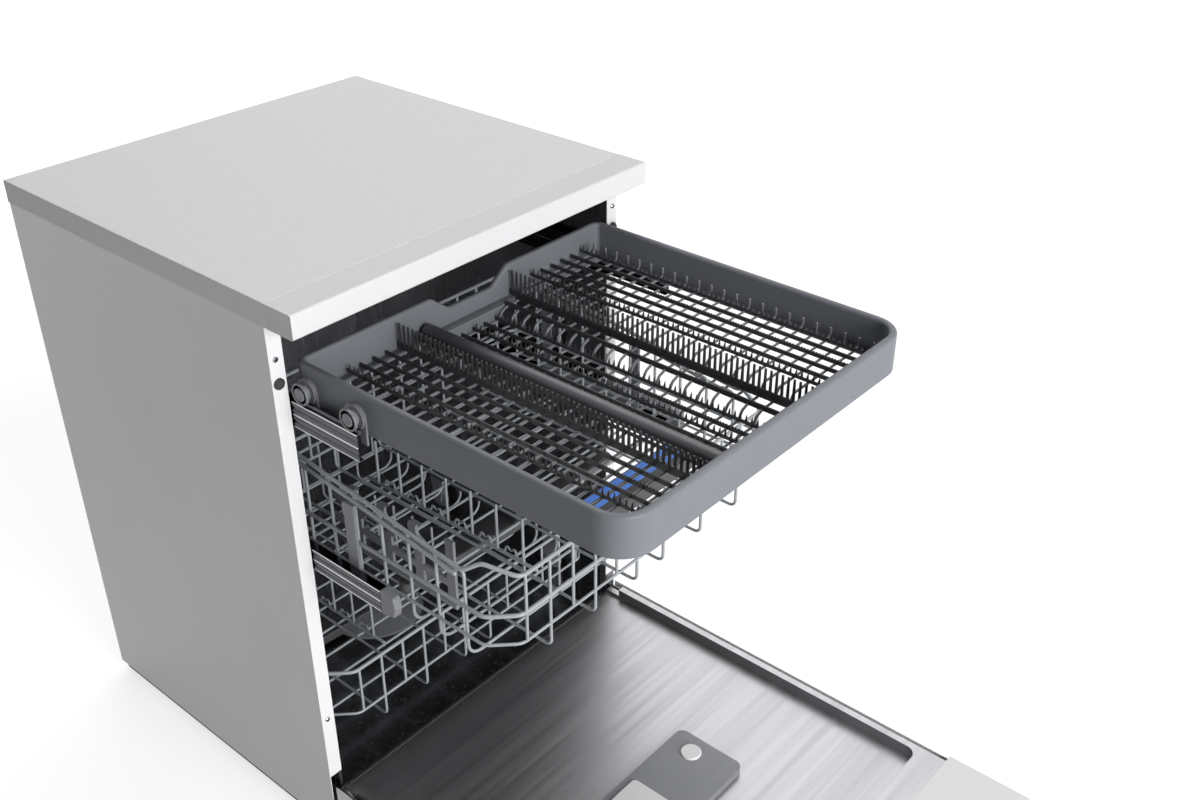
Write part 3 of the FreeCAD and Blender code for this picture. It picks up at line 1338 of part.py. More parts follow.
def upper_running_gear():
    rows = {"front": "front - upper_roller_front", "rear": "front - upper_roller_front + upper_roller_span"}
    inner, outer = "carrier_x", "carrier_x + upper_carrier_thick"
    low = "upper_roller_z - upper_axle_radius - roller_chamfer"
    start = "front - upper_roller_front - (upper_carrier_length - upper_roller_span) / 2"
    end = f"{start} + upper_carrier_length"
    bar, high = f"{low} + upper_carrier_bar", f"{low} + upper_carrier_height"
    front_strap, rear_strap = f"{start} + upper_carrier_strap", f"{end} - upper_carrier_strap"
    holder = add(new_body("carrier"), "YZ_Plane",
                 [(start, low), (end, low), (end, high), (rear_strap, high), (rear_strap, bar),
                  (front_strap, bar), (front_strap, high), (start, high)], inner, outer)
    axles = []
    for row, y in rows.items():
        near = f"{outer} + side_clear + roller_end_gap"
        far = "rail_side - upper_rail_gauge - roller_end_gap"
        axles.append(rod(f"upper_axle_{row}", "upper_axle_radius", f"{far} - carrier_x",
                         ("carrier_x", y, "upper_roller_z"), TO_X))
        profile = [("upper_axle_radius + pin_clear", near), ("upper_roller_r - roller_chamfer", near),
                   ("upper_roller_r", f"{near} + roller_chamfer"),
                   ("upper_roller_r", f"{far} - roller_chamfer"),
                   ("upper_roller_r - roller_chamfer", far), ("upper_axle_radius + pin_clear", far)]
        roller = turned(f"upper_roller_{row}", profile, TO_X, (0, y, "upper_roller_z"))
        both_sides(f"upper_rollers_{row}", roller)
    both_sides("upper_carriers", fuse("upper_carrier", holder, *axles))
    side, mouth, gauge = "rail_side", "rail_side - upper_rail_depth", "upper_rail_gauge"
    low, top = "upper_rail_low", "upper_rail_low + upper_rail_height"
    channel = [(side, low), (side, top), (mouth, top), (mouth, f"{top} - {gauge}"),
               (f"{side} - {gauge}", f"{top} - {gauge}"), (f"{side} - {gauge}", f"{low} + {gauge}"),
               (mouth, f"{low} + {gauge}"), (mouth, low)]
    rail_start = "upper_rail_front + cap_length"
    both_sides("upper_rails", add(new_body("upper_rail"), "XZ_Plane", channel, rail_start,
                                  f"{rail_start} + upper_rail_length"))
    cap = add(new_body("rail_cap"), "YZ_Plane",
              [("upper_rail_front", f"{low} + cap_flare"), (rail_start, f"{low} - cap_flare"),
               (rail_start, f"{top} + cap_flare"), ("upper_rail_front", f"{top} - cap_nose"),
               ("upper_rail_front - cap_flare", "upper_roller_z")], mouth, side)
    both_sides("upper_rail_caps", cap)


def lower_basket():
    front, back = val("lower_front"), val("lower_back")
    floor, rim = val("lower_floor"), val("lower_rim")
    rods = cradle(front, back, floor, lambda y: rim, rim, rim, val("lower_tier_two"))
    rods += tier(front, back, rim, val("rim_wire"))
    rods += tier(front, back, val("lower_tier_two"), val("wire"))
    keep("lower_basket_wires", plain("lower_basket_wires", Part.makeCompound(rods)))
    for name, side in (("left", -1), ("right", 1)):
        tine_row(f"lower_tines_{name}", side * val("lower_tine_x"), val("rod_top_lower"), front, back,
                 val("lower_tine_height"))
    rows = {"front": "lower_front + wheel_first", "rear": "lower_front + wheel_first + wheel_span"}
    brackets = []
    near = "wheel_bracket_x + wheel_bracket_thick"
    for row, y in rows.items():
        plate = add(new_body(f"wheel_bracket_{row}"), "YZ_Plane",
                    [(f"{y} - wheel_bracket_width / 4", "wheel_z - wheel_bracket_toe"),
                     (f"{y} + wheel_bracket_width / 4", "wheel_z - wheel_bracket_toe"),
                     (f"{y} + wheel_bracket_width / 2", "lower_floor + floor_bend"),
                     (f"{y} + wheel_bracket_width / 2", "lower_tier_two"),
                     (f"{y} - wheel_bracket_width / 2", "lower_tier_two"),
                     (f"{y} - wheel_bracket_width / 2", "lower_floor + floor_bend")], "wheel_bracket_x", near)
        axle = rod(f"wheel_axle_{row}", "upper_axle_radius",
                   "wheel_bracket_thick + wheel_width + wheel_axle_end",
                   ("wheel_bracket_x", y, "wheel_z"), TO_X)
        brackets.append(fuse(f"wheel_holder_{row}", plate, axle))
        start = f"{near} + side_clear"
        profile = [("upper_axle_radius + pin_clear", start), ("wheel_radius - wheel_chamfer", start),
                   ("wheel_radius", f"{start} + wheel_chamfer"),
                   ("wheel_radius", f"{start} + wheel_width - wheel_chamfer"),
                   ("wheel_radius - wheel_chamfer", f"{start} + wheel_width"),
                   ("upper_axle_radius + pin_clear", f"{start} + wheel_width")]
        both_sides(f"lower_wheels_{row}", turned(f"lower_wheel_{row}", profile, TO_X, (0, y, "wheel_z")))
    both_sides("lower_wheel_brackets", *brackets)


def check_and_write():
    doc.recompute()
    faults = [item.Name for item in doc.Objects if "Invalid" in item.State or "Error" in item.State]
    faults += [item.Label for item in PARTS if item.Shape.isNull() or not item.Shape.isValid()]
    if faults:
        raise RuntimeError("these did not build: " + ", ".join(faults))
    os.makedirs("parts", exist_ok=True)
    for item in PARTS:
        item.Shape.exportStep(os.path.join("parts", item.Label + ".step"))


worktop()
side_panel("left_side_panel", -1)
side_panel("right_side_panel", 1)
rear_panel()
base_and_feet()
tub()
wash_system()
flange_fittings()
hinges()
door_panels()
control_fascia()
dispenser()
tray_frame()
tray_inserts()
tray_running_gear()
rail_guides()
upper_basket()
cup_shelf()
upper_running_gear()
lower_basket()
check_and_write()
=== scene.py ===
import json
import math

import bmesh
import bpy
from mathutils import Matrix, Vector


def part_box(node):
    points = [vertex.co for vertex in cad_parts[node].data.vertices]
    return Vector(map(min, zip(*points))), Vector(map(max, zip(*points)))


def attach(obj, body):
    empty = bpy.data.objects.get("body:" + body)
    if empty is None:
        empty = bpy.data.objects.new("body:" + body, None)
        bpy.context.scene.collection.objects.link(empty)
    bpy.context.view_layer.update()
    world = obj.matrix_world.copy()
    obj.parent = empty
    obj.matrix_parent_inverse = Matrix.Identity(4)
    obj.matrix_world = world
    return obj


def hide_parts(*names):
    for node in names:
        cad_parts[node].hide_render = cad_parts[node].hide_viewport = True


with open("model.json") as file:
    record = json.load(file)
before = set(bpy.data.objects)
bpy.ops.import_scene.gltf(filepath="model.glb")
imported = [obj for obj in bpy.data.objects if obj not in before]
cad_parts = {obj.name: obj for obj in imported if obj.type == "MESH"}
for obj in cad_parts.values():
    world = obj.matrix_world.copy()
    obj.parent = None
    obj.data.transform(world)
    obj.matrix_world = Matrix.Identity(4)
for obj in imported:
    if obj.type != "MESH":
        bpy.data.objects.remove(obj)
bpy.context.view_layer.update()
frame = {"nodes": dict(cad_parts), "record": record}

MM = 0.001
UP = Vector((0, 0, 1))
WHITE = (1, 1, 1, 1)


# Shader building blocks

# The middle of a noise pattern's range, where its values lie
NOISE_LOW, NOISE_HIGH = 0.3, 0.7
GLOSS_FINER = 6
RELIEF_DEPTH = 0.5 * MM


def add_node(tree, kind, inputs=None):
    """A shader node with plain values on its sockets."""
    node = tree.nodes.new(kind)
    for name, value in (inputs or {}).items():
        node.inputs[name].default_value = value
    return node


def noise(tree, scale, stretch=(1, 1, 1), detail=3):
    """A noise pattern fixed to the piece, scale in repeats per metre, optionally stretched."""
    place = add_node(tree, "ShaderNodeTexCoord")
    mapping = add_node(tree, "ShaderNodeMapping", {"Scale": stretch})
    pattern = add_node(tree, "ShaderNodeTexNoise", {"Scale": scale, "Detail": detail})
    tree.links.new(place.outputs["Object"], mapping.inputs["Vector"])
    tree.links.new(mapping.outputs["Vector"], pattern.inputs["Vector"])
    return pattern.outputs["Fac"]


def spread(tree, source, low, high):
    """A pattern brought into a range of values."""
    limits = {"From Min": NOISE_LOW, "From Max": NOISE_HIGH, "To Min": low, "To Max": high}
    ranger = add_node(tree, "ShaderNodeMapRange", limits)
    tree.links.new(source, ranger.inputs["Value"])
    return ranger.outputs["Result"]


def tones(tree, source, dark, light):
    """Two colours mixed by a pattern."""
    ramp = add_node(tree, "ShaderNodeValToRGB")
    first, last = ramp.color_ramp.elements
    first.position, first.color = NOISE_LOW, (*dark, 1)
    last.position, last.color = NOISE_HIGH, (*light, 1)
    tree.links.new(source, ramp.inputs["Fac"])
    return ramp.outputs["Color"]


def surface(name, colour, change, rough, patch, grain, relief,
            stretch=(1, 1, 1), metal=0.0, coat=0.0, shine=0.5):
    """A finish with uneven tone, uneven gloss and a fine relief, patch and grain in repeats per metre."""
    material = bpy.data.materials.new(name)
    material.use_nodes = True
    tree = material.node_tree
    shader = tree.nodes["Principled BSDF"]
    shader.inputs["Metallic"].default_value = metal
    shader.inputs["Coat Weight"].default_value = coat
    shader.inputs["Specular IOR Level"].default_value = shine
    dark = tuple(c * (1 - change) for c in colour)
    light = tuple(min(1, c * (1 + change)) for c in colour)
    tone = tones(tree, noise(tree, patch, stretch), dark, light)
    tree.links.new(tone, shader.inputs["Base Color"])
    gloss = spread(tree, noise(tree, patch * GLOSS_FINER, stretch), *rough)
    tree.links.new(gloss, shader.inputs["Roughness"])
    bump = add_node(tree, "ShaderNodeBump", {"Strength": relief, "Distance": RELIEF_DEPTH})
    tree.links.new(noise(tree, grain, stretch, detail=2), bump.inputs["Height"])
    tree.links.new(bump.outputs["Normal"], shader.inputs["Normal"])
    return material


# Brushing runs along the stretched axis
ALONG_X = (0.02, 1, 1)
ALONG_Y = (1, 0.02, 1)
ALONG_Z = (1, 1, 0.02)

FINISHES = {
    "worktop": surface(
        "worktop_laminate", (0.79, 0.79, 0.79),
        change=0.015, rough=(0.5, 0.6), patch=60, grain=1500, relief=0.05),
    "white_trim": surface(
        "white_trim", (0.70, 0.70, 0.71),
        change=0.012, rough=(0.35, 0.45), patch=12, grain=1800, relief=0.012),
    "white_enamel": surface(
        "white_enamel", (0.80, 0.80, 0.81),
        change=0.012, rough=(0.3, 0.36), patch=6, grain=2200, relief=0.008, coat=0.2),
    "black_base": surface(
        "black_base", (0.02, 0.02, 0.022),
        change=0.15, rough=(0.5, 0.65), patch=14, grain=1200, relief=0.15),
    "cast_weight": surface(
        "cast_weight", (0.16, 0.155, 0.15),
        change=0.25, rough=(0.75, 0.9), patch=30, grain=260, relief=0.6),
    "stainless": surface(
        "tub_steel", (0.27, 0.27, 0.28),
        change=0.07, rough=(0.2, 0.28), patch=24, grain=900, relief=0.004, stretch=ALONG_Z, metal=1.0),
    "seal_rubber": surface(
        "seal_rubber", (0.025, 0.025, 0.026),
        change=0.2, rough=(0.6, 0.75), patch=30, grain=900, relief=0.12),
    "bright_steel": surface(
        "bright_steel", (0.26, 0.265, 0.28),
        change=0.08, rough=(0.08, 0.14), patch=40, grain=500, relief=0.02, stretch=ALONG_Y, metal=1.0),
    "grey_moulding": surface(
        "grey_moulding", (0.20, 0.205, 0.22),
        change=0.05, rough=(0.35, 0.45), patch=15, grain=1200, relief=0.06),
    "pump_plastic": surface(
        "pump_plastic", (0.10, 0.10, 0.105),
        change=0.1, rough=(0.5, 0.6), patch=20, grain=1000, relief=0.12),
    "tray_plastic": surface(
        "tray_plastic", (0.175, 0.183, 0.203),
        change=0.025, rough=(0.36, 0.46), patch=8, grain=1500, relief=0.05, shine=0.2),
    "insert_plastic": surface(
        "insert_plastic", (0.045, 0.047, 0.05),
        change=0.08, rough=(0.3, 0.4), patch=20, grain=1400, relief=0.05, shine=0.25),
    "coated_wire": surface(
        "coated_wire", (0.33, 0.35, 0.37),
        change=0.06, rough=(0.26, 0.38), patch=25, grain=800, relief=0.05),
    "shelf_plastic": surface(
        "shelf_plastic", (0.20, 0.205, 0.22),
        change=0.06, rough=(0.35, 0.48), patch=18, grain=1200, relief=0.06),
    "handle_plastic": surface(
        "handle_plastic", (0.035, 0.035, 0.04),
        change=0.1, rough=(0.3, 0.42), patch=18, grain=1200, relief=0.05),
    "control_plastic": surface(
        "control_plastic", (0.74, 0.74, 0.75),
        change=0.02, rough=(0.3, 0.4), patch=12, grain=900, relief=0.04),
}
# Slats of the same dark plastic as the inserts, given a lighter grey: painted sheen of light on their
# glossy tops
SLAT_PAINTED_SHEEN = surface(
    "slat_plastic_painted_sheen", (0.165, 0.17, 0.18),
    change=0.08, rough=(0.26, 0.36), patch=20, grain=1400, relief=0.05)
# Rail chrome far darker than real chrome: painted dark reflection of dim surroundings
RAIL_CHROME_PAINTED_DARK_REFLECTION = surface(
    "rail_chrome_painted_dark_reflection", (0.075, 0.077, 0.085),
    change=0.1, rough=(0.1, 0.18), patch=40, grain=500, relief=0.02, stretch=ALONG_Y, metal=1.0)
# Rolled rail edges in a far lighter metal than the rail itself: painted highlight on real rolled edges
ROLLED_EDGE_PAINTED_HIGHLIGHT = surface(
    "rolled_edge_painted_highlight", (0.62, 0.63, 0.65),
    change=0.05, rough=(0.12, 0.2), patch=40, grain=500, relief=0.02, stretch=ALONG_Y, metal=1.0)
LINER_STEEL = surface(
    "liner_steel", (0.30, 0.30, 0.31),
    change=0.06, rough=(0.36, 0.46), patch=20, grain=900, relief=0.03, stretch=ALONG_X, metal=1.0)
TUBE_PLASTIC = surface(
    "tube_plastic", (0.07, 0.073, 0.08),
    change=0.05, rough=(0.32, 0.42), patch=12, grain=1400, relief=0.05)
BLUE_BAND = surface(
    "blue_band", (0.08, 0.26, 0.86),
    change=0.08, rough=(0.3, 0.4), patch=20, grain=900, relief=0.04)
DARK_WINDOW = surface(
    "dark_window", (0.012, 0.013, 0.016),
    change=0.1, rough=(0.08, 0.14), patch=12, grain=300, relief=0.01, coat=0.5)
# Dark metal for the cross on each screw head: painted shade of a recess
SCREW_CROSS_PAINTED_SHADE = surface(
    "screw_cross_painted_shade", (0.05, 0.05, 0.05),
    change=0.2, rough=(0.4, 0.5), patch=60, grain=900, relief=0.1, metal=1.0)
ARM_PLASTIC = surface(
    "arm_plastic", (0.06, 0.061, 0.065),
    change=0.08, rough=(0.35, 0.45), patch=14, grain=1200, relief=0.06)
# A bead paler than the worktop and the trim: painted highlight along their joint
JOINT_BEAD_PAINTED_HIGHLIGHT = surface(
    "joint_bead_painted_highlight", (0.86, 0.86, 0.87),
    change=0.01, rough=(0.12, 0.18), patch=12, grain=400, relief=0.01, coat=0.5)
OWN_FINISHES = {
    "door_liner": LINER_STEEL, "tray_tube": TUBE_PLASTIC, "upper_feed_duct": ARM_PLASTIC,
    "spray_arm_upper": ARM_PLASTIC, "spray_arm_lower": ARM_PLASTIC, "spray_arm_top": ARM_PLASTIC,
}

for part in frame["record"]["subparts"]:
    mesh = frame["nodes"][part["node"]].data
    mesh.materials.clear()
    mesh.materials.append(OWN_FINISHES.get(part["node"], FINISHES[part["material_slot"]]))


# Mesh building blocks

def piece(name, body, slot, fill, replaced=(), finish=None):
    """A new named mesh that moves with a body, filled by a function, in place of CAD nodes if any."""
    mesh = bpy.data.meshes.new(name)
    shape = bmesh.new()
    fill(shape)
    shape.to_mesh(mesh)
    shape.free()
    mesh.materials.append(finish or FINISHES[slot])
    made = bpy.data.objects.new(name, mesh)
    bpy.context.scene.collection.objects.link(made)
    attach(made, body)
    if replaced:
        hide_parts(*replaced)


# Corners with a larger half angle stay as they are, and a bend takes up at most this share of a side
STRAIGHT_HALF = math.radians(88)
BEND_SHARE = 0.48


def bent(points, bends, closed=False, steps=5):
    """The line through some points with each corner bent to a radius, one for all or one each."""
    points = [Vector(p) for p in points]
    count = len(points)
    radii = bends if isinstance(bends, list) else [bends] * count
    line = []
    for i, corner in enumerate(points):
        if not closed and i in (0, count - 1):
            line.append(corner)
            continue
        back = points[i - 1] - corner
        ahead = points[(i + 1) % count] - corner
        half = back.angle(ahead) / 2
        if half > STRAIGHT_HALF:
            line.append(corner)
            continue
        reach = min(radii[i] / math.tan(half), BEND_SHARE * back.length, BEND_SHARE * ahead.length)
        radius = reach * math.tan(half)
        inward = (back.normalized() + ahead.normalized()).normalized()
        centre = corner + inward * (radius / math.sin(half))
        start = (corner + back.normalized() * reach - centre).normalized()
        end = (corner + ahead.normalized() * reach - centre).normalized()
        for k in range(steps + 1):
            line.append(centre + start.slerp(end, k / steps) * radius)
    return line


def tube(shape, line, radius, sides=10, closed=False):
    """A round wire along a line, of one radius or one for each point, with domed ends when it is open."""
    count = len(line)
    radii = radius if isinstance(radius, list) else [radius] * count
    stations = []
    across = None
    for i, point in enumerate(line):
        before = line[i - 1] if closed or i else point
        after = line[(i + 1) % count] if closed or i < count - 1 else point
        ahead = (after - before).normalized()
        across = across or ahead.orthogonal()
        across = (across - ahead * across.dot(ahead)).normalized()
        stations.append((point, ahead, across, radii[i]))
    if not closed:
        stations = dome(stations[0], -1)[::-1] + stations + dome(stations[-1], 1)
    circles = []
    for point, ahead, across, reach in stations:
        turns = [2 * math.pi * k / sides for k in range(sides)]
        other = ahead.cross(across)
        spokes = [across * math.cos(turn) + other * math.sin(turn) for turn in turns]
        circles.append([shape.verts.new(point + spoke * reach) for spoke in spokes])
    pairs = list(zip(circles, circles[1:]))
    if closed:
        pairs.append((circles[-1], circles[0]))
    for first, second in pairs:
        for k in range(sides):
            after = (k + 1) % sides
            shape.faces.new((first[k], first[after], second[after], second[k])).smooth = True
    if not closed:
        shape.faces.new(list(reversed(circles[0])))
        shape.faces.new(circles[-1])


# How far out and how wide the circles of a domed end are, as shares of the wire's radius
DOME_STEPS = [(0.35, 0.92), (0.6, 0.6)]


def dome(station, side):
    """The shrinking circles that round off a wire's end."""
    point, ahead, across, radius = station
    return [
        (point + ahead * (side * radius * out), ahead, across, radius * wide) for out, wide in DOME_STEPS
    ]


def extrude(shape, outline, start, end, axis):
    """A closed outline carried straight along an axis, its pairs being the other two coordinates."""
    layouts = {"X": (2, 0, 1), "Y": (0, 2, 1), "Z": (0, 1, 2)}

    def corner(pair, level):
        values = (*pair, level)
        return shape.verts.new([values[i] for i in layouts[axis]])

    low = [corner(pair, start) for pair in outline]
    high = [corner(pair, end) for pair in outline]
    count = len(outline)
    made = [shape.faces.new((low[k], low[(k + 1) % count], high[(k + 1) % count], high[k]))
            for k in range(count)]
    made += [shape.faces.new(list(reversed(low))), shape.faces.new(high)]
    bmesh.ops.recalc_face_normals(shape, faces=made)


def turn_about_x(shape, profile, y, z, sides=32):
    """A profile of (radius, x) pairs turned about an axis along X."""
    circles = []
    for radius, x in profile:
        turns = [2 * math.pi * k / sides for k in range(sides)]
        circles.append([
            shape.verts.new((x, y + radius * math.cos(turn), z + radius * math.sin(turn))) for turn in turns
        ])
    made = []
    for first, second in zip(circles, circles[1:]):
        for k in range(sides):
            after = (k + 1) % sides
            made.append(shape.faces.new((first[k], first[after], second[after], second[k])))
    made += [shape.faces.new(circles[0]), shape.faces.new(circles[-1])]
    bmesh.ops.recalc_face_normals(shape, faces=made)


# Wire baskets

# Wire and rim radii, and how far beyond the rim's surface the centre of a welded wire lies
WIRE = 2 * MM
RIM = 2.75 * MM
WELD = 0.6 * WIRE
CROSS_PITCH = 45.5 * MM
CROSS_ROWS = 10
CROSS_INSET = 4 * WIRE
LONG_START, LONG_PITCH, LONG_COUNT = 26 * MM, 39 * MM, 6
LONG_ROWS = [LONG_START + LONG_PITCH * i for i in range(LONG_COUNT)]
CORNER_CUT = 30 * MM
RING_BEND = 18 * MM
RIM_BEND = 14 * MM
TOP_BEND = 6 * MM
FLOOR_BEND = 19 * MM
LONG_BEND = 9 * MM
# The upper basket's climbing rim, its twin wire below it and the knees beside its front
RIM_CLIMB = 50 * MM
TWIN_DROP = 12 * MM
TWIN_START = 12 * MM
NOSE_LIFT = 3 * MM
KNEE_IN, KNEE_AHEAD, KNEE_LIFT = 12 * MM, 18 * MM, 12 * MM
MIDDLE_RING_DROP = 50 * MM
UPPER_RING_LIFT, LOWER_RING_LIFT = 38 * MM, 40 * MM
UPPER_FOOT = 20 * MM


def basket_place(node):
    """Half width, front, back, floor and rim of a basket, at its wires' centres."""
    low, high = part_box(node)
    return high.x - RIM, low.y + RIM, high.y - RIM, low.z + WIRE, high.z - RIM


def ring(shape, front, back, half, z, radius):
    """A level wire round a basket, cut across its front corners."""
    points = [
        (-half, back, z), (half, back, z), (half, front + CORNER_CUT, z),
        (half - CORNER_CUT, front, z), (CORNER_CUT - half, front, z), (-half, front + CORNER_CUT, z),
    ]
    tube(shape, bent(points, RING_BEND, closed=True), radius, closed=True)


def cross_wire(shape, y, half, floor, top_at, foot):
    """A wire across the floor whose upper ends lie back along the rim."""
    inner = half - RIM - WELD
    right = [(inner, y, floor), (inner, y, top_at(y)), (inner, y + foot, top_at(y + foot))]
    left = [(-x, y, z) for x, y, z in reversed(right)]
    bends = [0, TOP_BEND, FLOOR_BEND, FLOOR_BEND, TOP_BEND, 0]
    tube(shape, bent(left + right, bends), WIRE)


def long_wires(shape, front, back, floor, front_top, back_top, stop):
    """Wires from front to back; every second one only stands at the front and back, down to a ring."""
    deck = floor + 2 * WIRE
    for i, row in enumerate(LONG_ROWS):
        for x in (-row, row):
            if i % 2:
                tube(shape, [Vector((x, front, stop)), Vector((x, front, front_top))], WIRE)
                tube(shape, [Vector((x, back, stop)), Vector((x, back, back_top))], WIRE)
            else:
                points = [(x, front, front_top), (x, front, deck), (x, back, deck), (x, back, back_top)]
                tube(shape, bent(points, LONG_BEND), WIRE)


def fill_upper_basket(shape):
    """The welded wires of the upper basket, whose side rim climbs towards the back."""
    half, front, back, floor, rim_back = basket_place("upper_basket_wires")
    rim_front = rim_back - RIM_CLIMB
    bend_y = front + 2 * CORNER_CUT

    def rim_at(y):
        return rim_front + max(0, y - bend_y) / (back - bend_y) * (rim_back - rim_front)

    def between_twins(y):
        return rim_at(y) - TWIN_DROP / 2

    nose = rim_front + NOSE_LIFT
    right = [
        (half, back, rim_back), (half, bend_y, rim_front),
        (half - KNEE_IN, bend_y - KNEE_AHEAD, rim_front + KNEE_LIFT), (half - CORNER_CUT, front, nose),
    ]
    left = [(-x, y, z) for x, y, z in reversed(right)]
    tube(shape, bent(right + left, RIM_BEND, closed=True), RIM, closed=True)
    twin_y = bend_y + TWIN_START
    for x in (-half, half):
        start = Vector((x, twin_y, rim_at(twin_y) - TWIN_DROP))
        tube(shape, [start, Vector((x, back, rim_back - TWIN_DROP))], RIM)
    lower_ring = floor + UPPER_RING_LIFT
    ring(shape, front, back, half, rim_front - MIDDLE_RING_DROP, RIM)
    ring(shape, front, back, half, lower_ring, WIRE)
    for i in range(CROSS_ROWS):
        foot = UPPER_FOOT if i else -2 * WIRE
        cross_wire(shape, back - CROSS_INSET - i * CROSS_PITCH, half, floor, between_twins, foot)
    long_wires(shape, front, back, floor, nose, rim_back, lower_ring)


def fill_lower_basket(shape):
    """The welded wires of the lower basket, whose rim is level."""
    half, front, back, floor, rim = basket_place("lower_basket_wires")
    lower_ring = floor + LOWER_RING_LIFT
    ring(shape, front, back, half, rim, RIM)
    ring(shape, front, back, half, lower_ring, WIRE)
    for i in range(CROSS_ROWS):
        cross_wire(shape, back - CROSS_INSET - i * CROSS_PITCH, half, floor, lambda y: rim, 2 * WIRE)
    long_wires(shape, front, back, floor, rim, rim, lower_ring)


piece("upper_basket_wire_set", "upper_basket", "coated_wire", fill_upper_basket, ["upper_basket_wires"])
piece("lower_basket_wire_set", "lower_basket", "coated_wire", fill_lower_basket, ["lower_basket_wires"])


# Folding tine rows

TINE_COUNT = 7
WAVE = 9 * MM
WAVE_BEND = 0.45 * WAVE
WAVE_WIRE = 0.75 * WIRE
# Corners of the waved wire along and above the rod, in waves
CRESTS = [(-1.8, 0), (-1.25, 0.1), (-0.85, 1.6), (-0.1, 0.35), (0.65, 1.5), (1.1, 0.1), (1.8, 0)]


def tine_row(node):
    """A turning rod with prongs, and a small waved wire standing between each two of them."""
    low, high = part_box(node)
    rod = (high.x - low.x) / 2
    x = (low.x + high.x) / 2
    axis_z = low.z + rod
    base_z = axis_z + rod

    def fill(shape):
        tube(shape, [Vector((x, low.y, axis_z)), Vector((x, high.y, axis_z))], rod)
        for i in range(TINE_COUNT):
            y = high.y - (i + 0.5) * CROSS_PITCH
            tube(shape, [Vector((x, y, axis_z)), Vector((x, y, high.z - WIRE))], WIRE)
            if i:
                middle = y + CROSS_PITCH / 2
                points = [(x, middle + along * WAVE, base_z + rise * WAVE) for along, rise in CRESTS]
                tube(shape, bent(points, WAVE_BEND, steps=3), WAVE_WIRE, sides=8)

    piece(node + "_row", node, "coated_wire", fill, [node])


for tines in ("upper_tines", "lower_tines_left", "lower_tines_right"):
    tine_row(tines)


# Ridged rails

RIB_STEPS = 8
RIB_COUNT = 4
RIB_DEPTH = 1.2 * MM
RIB_SHARE = 0.46
GAUGE = 1.5 * MM
ROLL = 0.9 * MM
CHANNEL_DEPTH = 12 * MM
TRAY_RAIL_DEPTH = 7.5 * MM
HEAD_HEIGHT, HEAD_WIDTH, HEAD_CORNER = 5 * MM, 4.5 * MM, 1 * MM
# Heights of the rolled edges, as shares of a rail's height
UPPER_EDGES = (0.04, 0.5, 0.96)
TRAY_EDGES = (0.04, 0.44, 0.85)


def ribbed_face(side, low, high):
    """The outer face of a rail: rounded ribs along it with narrow grooves between them."""
    pitch = (high - low) / RIB_COUNT
    face = []
    for i in range(RIB_COUNT):
        middle = low + (i + 0.5) * pitch
        for k in range(RIB_STEPS + 1):
            turn = math.pi * (k / RIB_STEPS - 0.5)
            inward = RIB_DEPTH * (1 - math.cos(turn))
            face.append((side - inward, middle + RIB_SHARE * pitch * math.sin(turn)))
    return face


def rail_pair(name, body, node, outline_within, edges):
    """Two mirrored rails swept along Y over the length of a CAD node, in chrome darkened as a painted dark
    reflection, with rolled edges whose lighter metal is a painted highlight.
    """
    low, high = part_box(node)
    outline = outline_within(low, high)

    def fill(shape):
        for mirror in (-1, 1):
            extrude(shape, [(mirror * x, z) for x, z in outline], low.y, high.y, "Y")

    def fill_edges(shape):
        for mirror in (-1, 1):
            for share in edges:
                place = Vector((mirror * (high.x - ROLL), low.y + ROLL, low.z + share * (high.z - low.z)))
                tube(shape, [place, place + Vector((0, high.y - low.y - 2 * ROLL, 0))], ROLL)

    piece(name, body, "bright_steel", fill, [node], RAIL_CHROME_PAINTED_DARK_REFLECTION)
    piece(name + "_edges", body, "bright_steel", fill_edges, finish=ROLLED_EDGE_PAINTED_HIGHLIGHT)


def upper_rail_outline(low, high):
    """A channel open towards the basket."""
    mouth = high.x - CHANNEL_DEPTH
    web = high.x - GAUGE
    return ribbed_face(high.x, low.z, high.z) + [
        (mouth, high.z), (mouth, high.z - GAUGE), (web, high.z - GAUGE),
        (web, low.z + GAUGE), (mouth, low.z + GAUGE), (mouth, low.z),
    ]


def tray_rail_outline(low, high):
    """A channel with a raised running head for the grooved rollers."""
    top = high.z - HEAD_HEIGHT
    inner = high.x - TRAY_RAIL_DEPTH
    head = inner + HEAD_WIDTH
    web = high.x - GAUGE
    return ribbed_face(high.x, low.z, top) + [
        (head, top), (head, high.z - HEAD_CORNER), (head - HEAD_CORNER, high.z),
        (inner + HEAD_CORNER, high.z), (inner, high.z - HEAD_CORNER), (inner, top - GAUGE),
        (web, top - GAUGE), (web, low.z + GAUGE), (inner, low.z + GAUGE), (inner, low.z),
    ]


rail_pair("upper_rail_profiles", "upper_rail_pair", "upper_rails", upper_rail_outline, UPPER_EDGES)
rail_pair("tray_rail_profiles", "tray_rail_pair", "tray_rails", tray_rail_outline, TRAY_EDGES)


# Rollers

# Radius and lift from the roller's face, in millimetres
HUB_PROFILE = [(8.2, 0), (8.2, 1.0), (7.6, 1.5), (4.4, 1.5), (4.0, 1.1), (0.5, 1.1)]
ROLLER_RIM_PROFILE = [(13.8, 0), (13.6, 0.7), (11.8, 0.7), (11.4, 0)]


def roller_caps(node):
    """A raised rim and a stepped hub on the outer face of each grooved roller."""
    low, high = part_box(node)
    y, z = (low.y + high.y) / 2, (low.z + high.z) / 2
    face = high.x

    def fill(shape):
        for side in (-1, 1):
            for profile in (HUB_PROFILE, ROLLER_RIM_PROFILE):
                pairs = [(radius * MM, side * (face + lift * MM)) for radius, lift in profile]
                turn_about_x(shape, pairs, y, z)

    piece(node + "_caps", node, "grey_moulding", fill)


for rollers in ("tray_rollers_front", "tray_rollers_rear"):
    roller_caps(rollers)


# Tray inserts

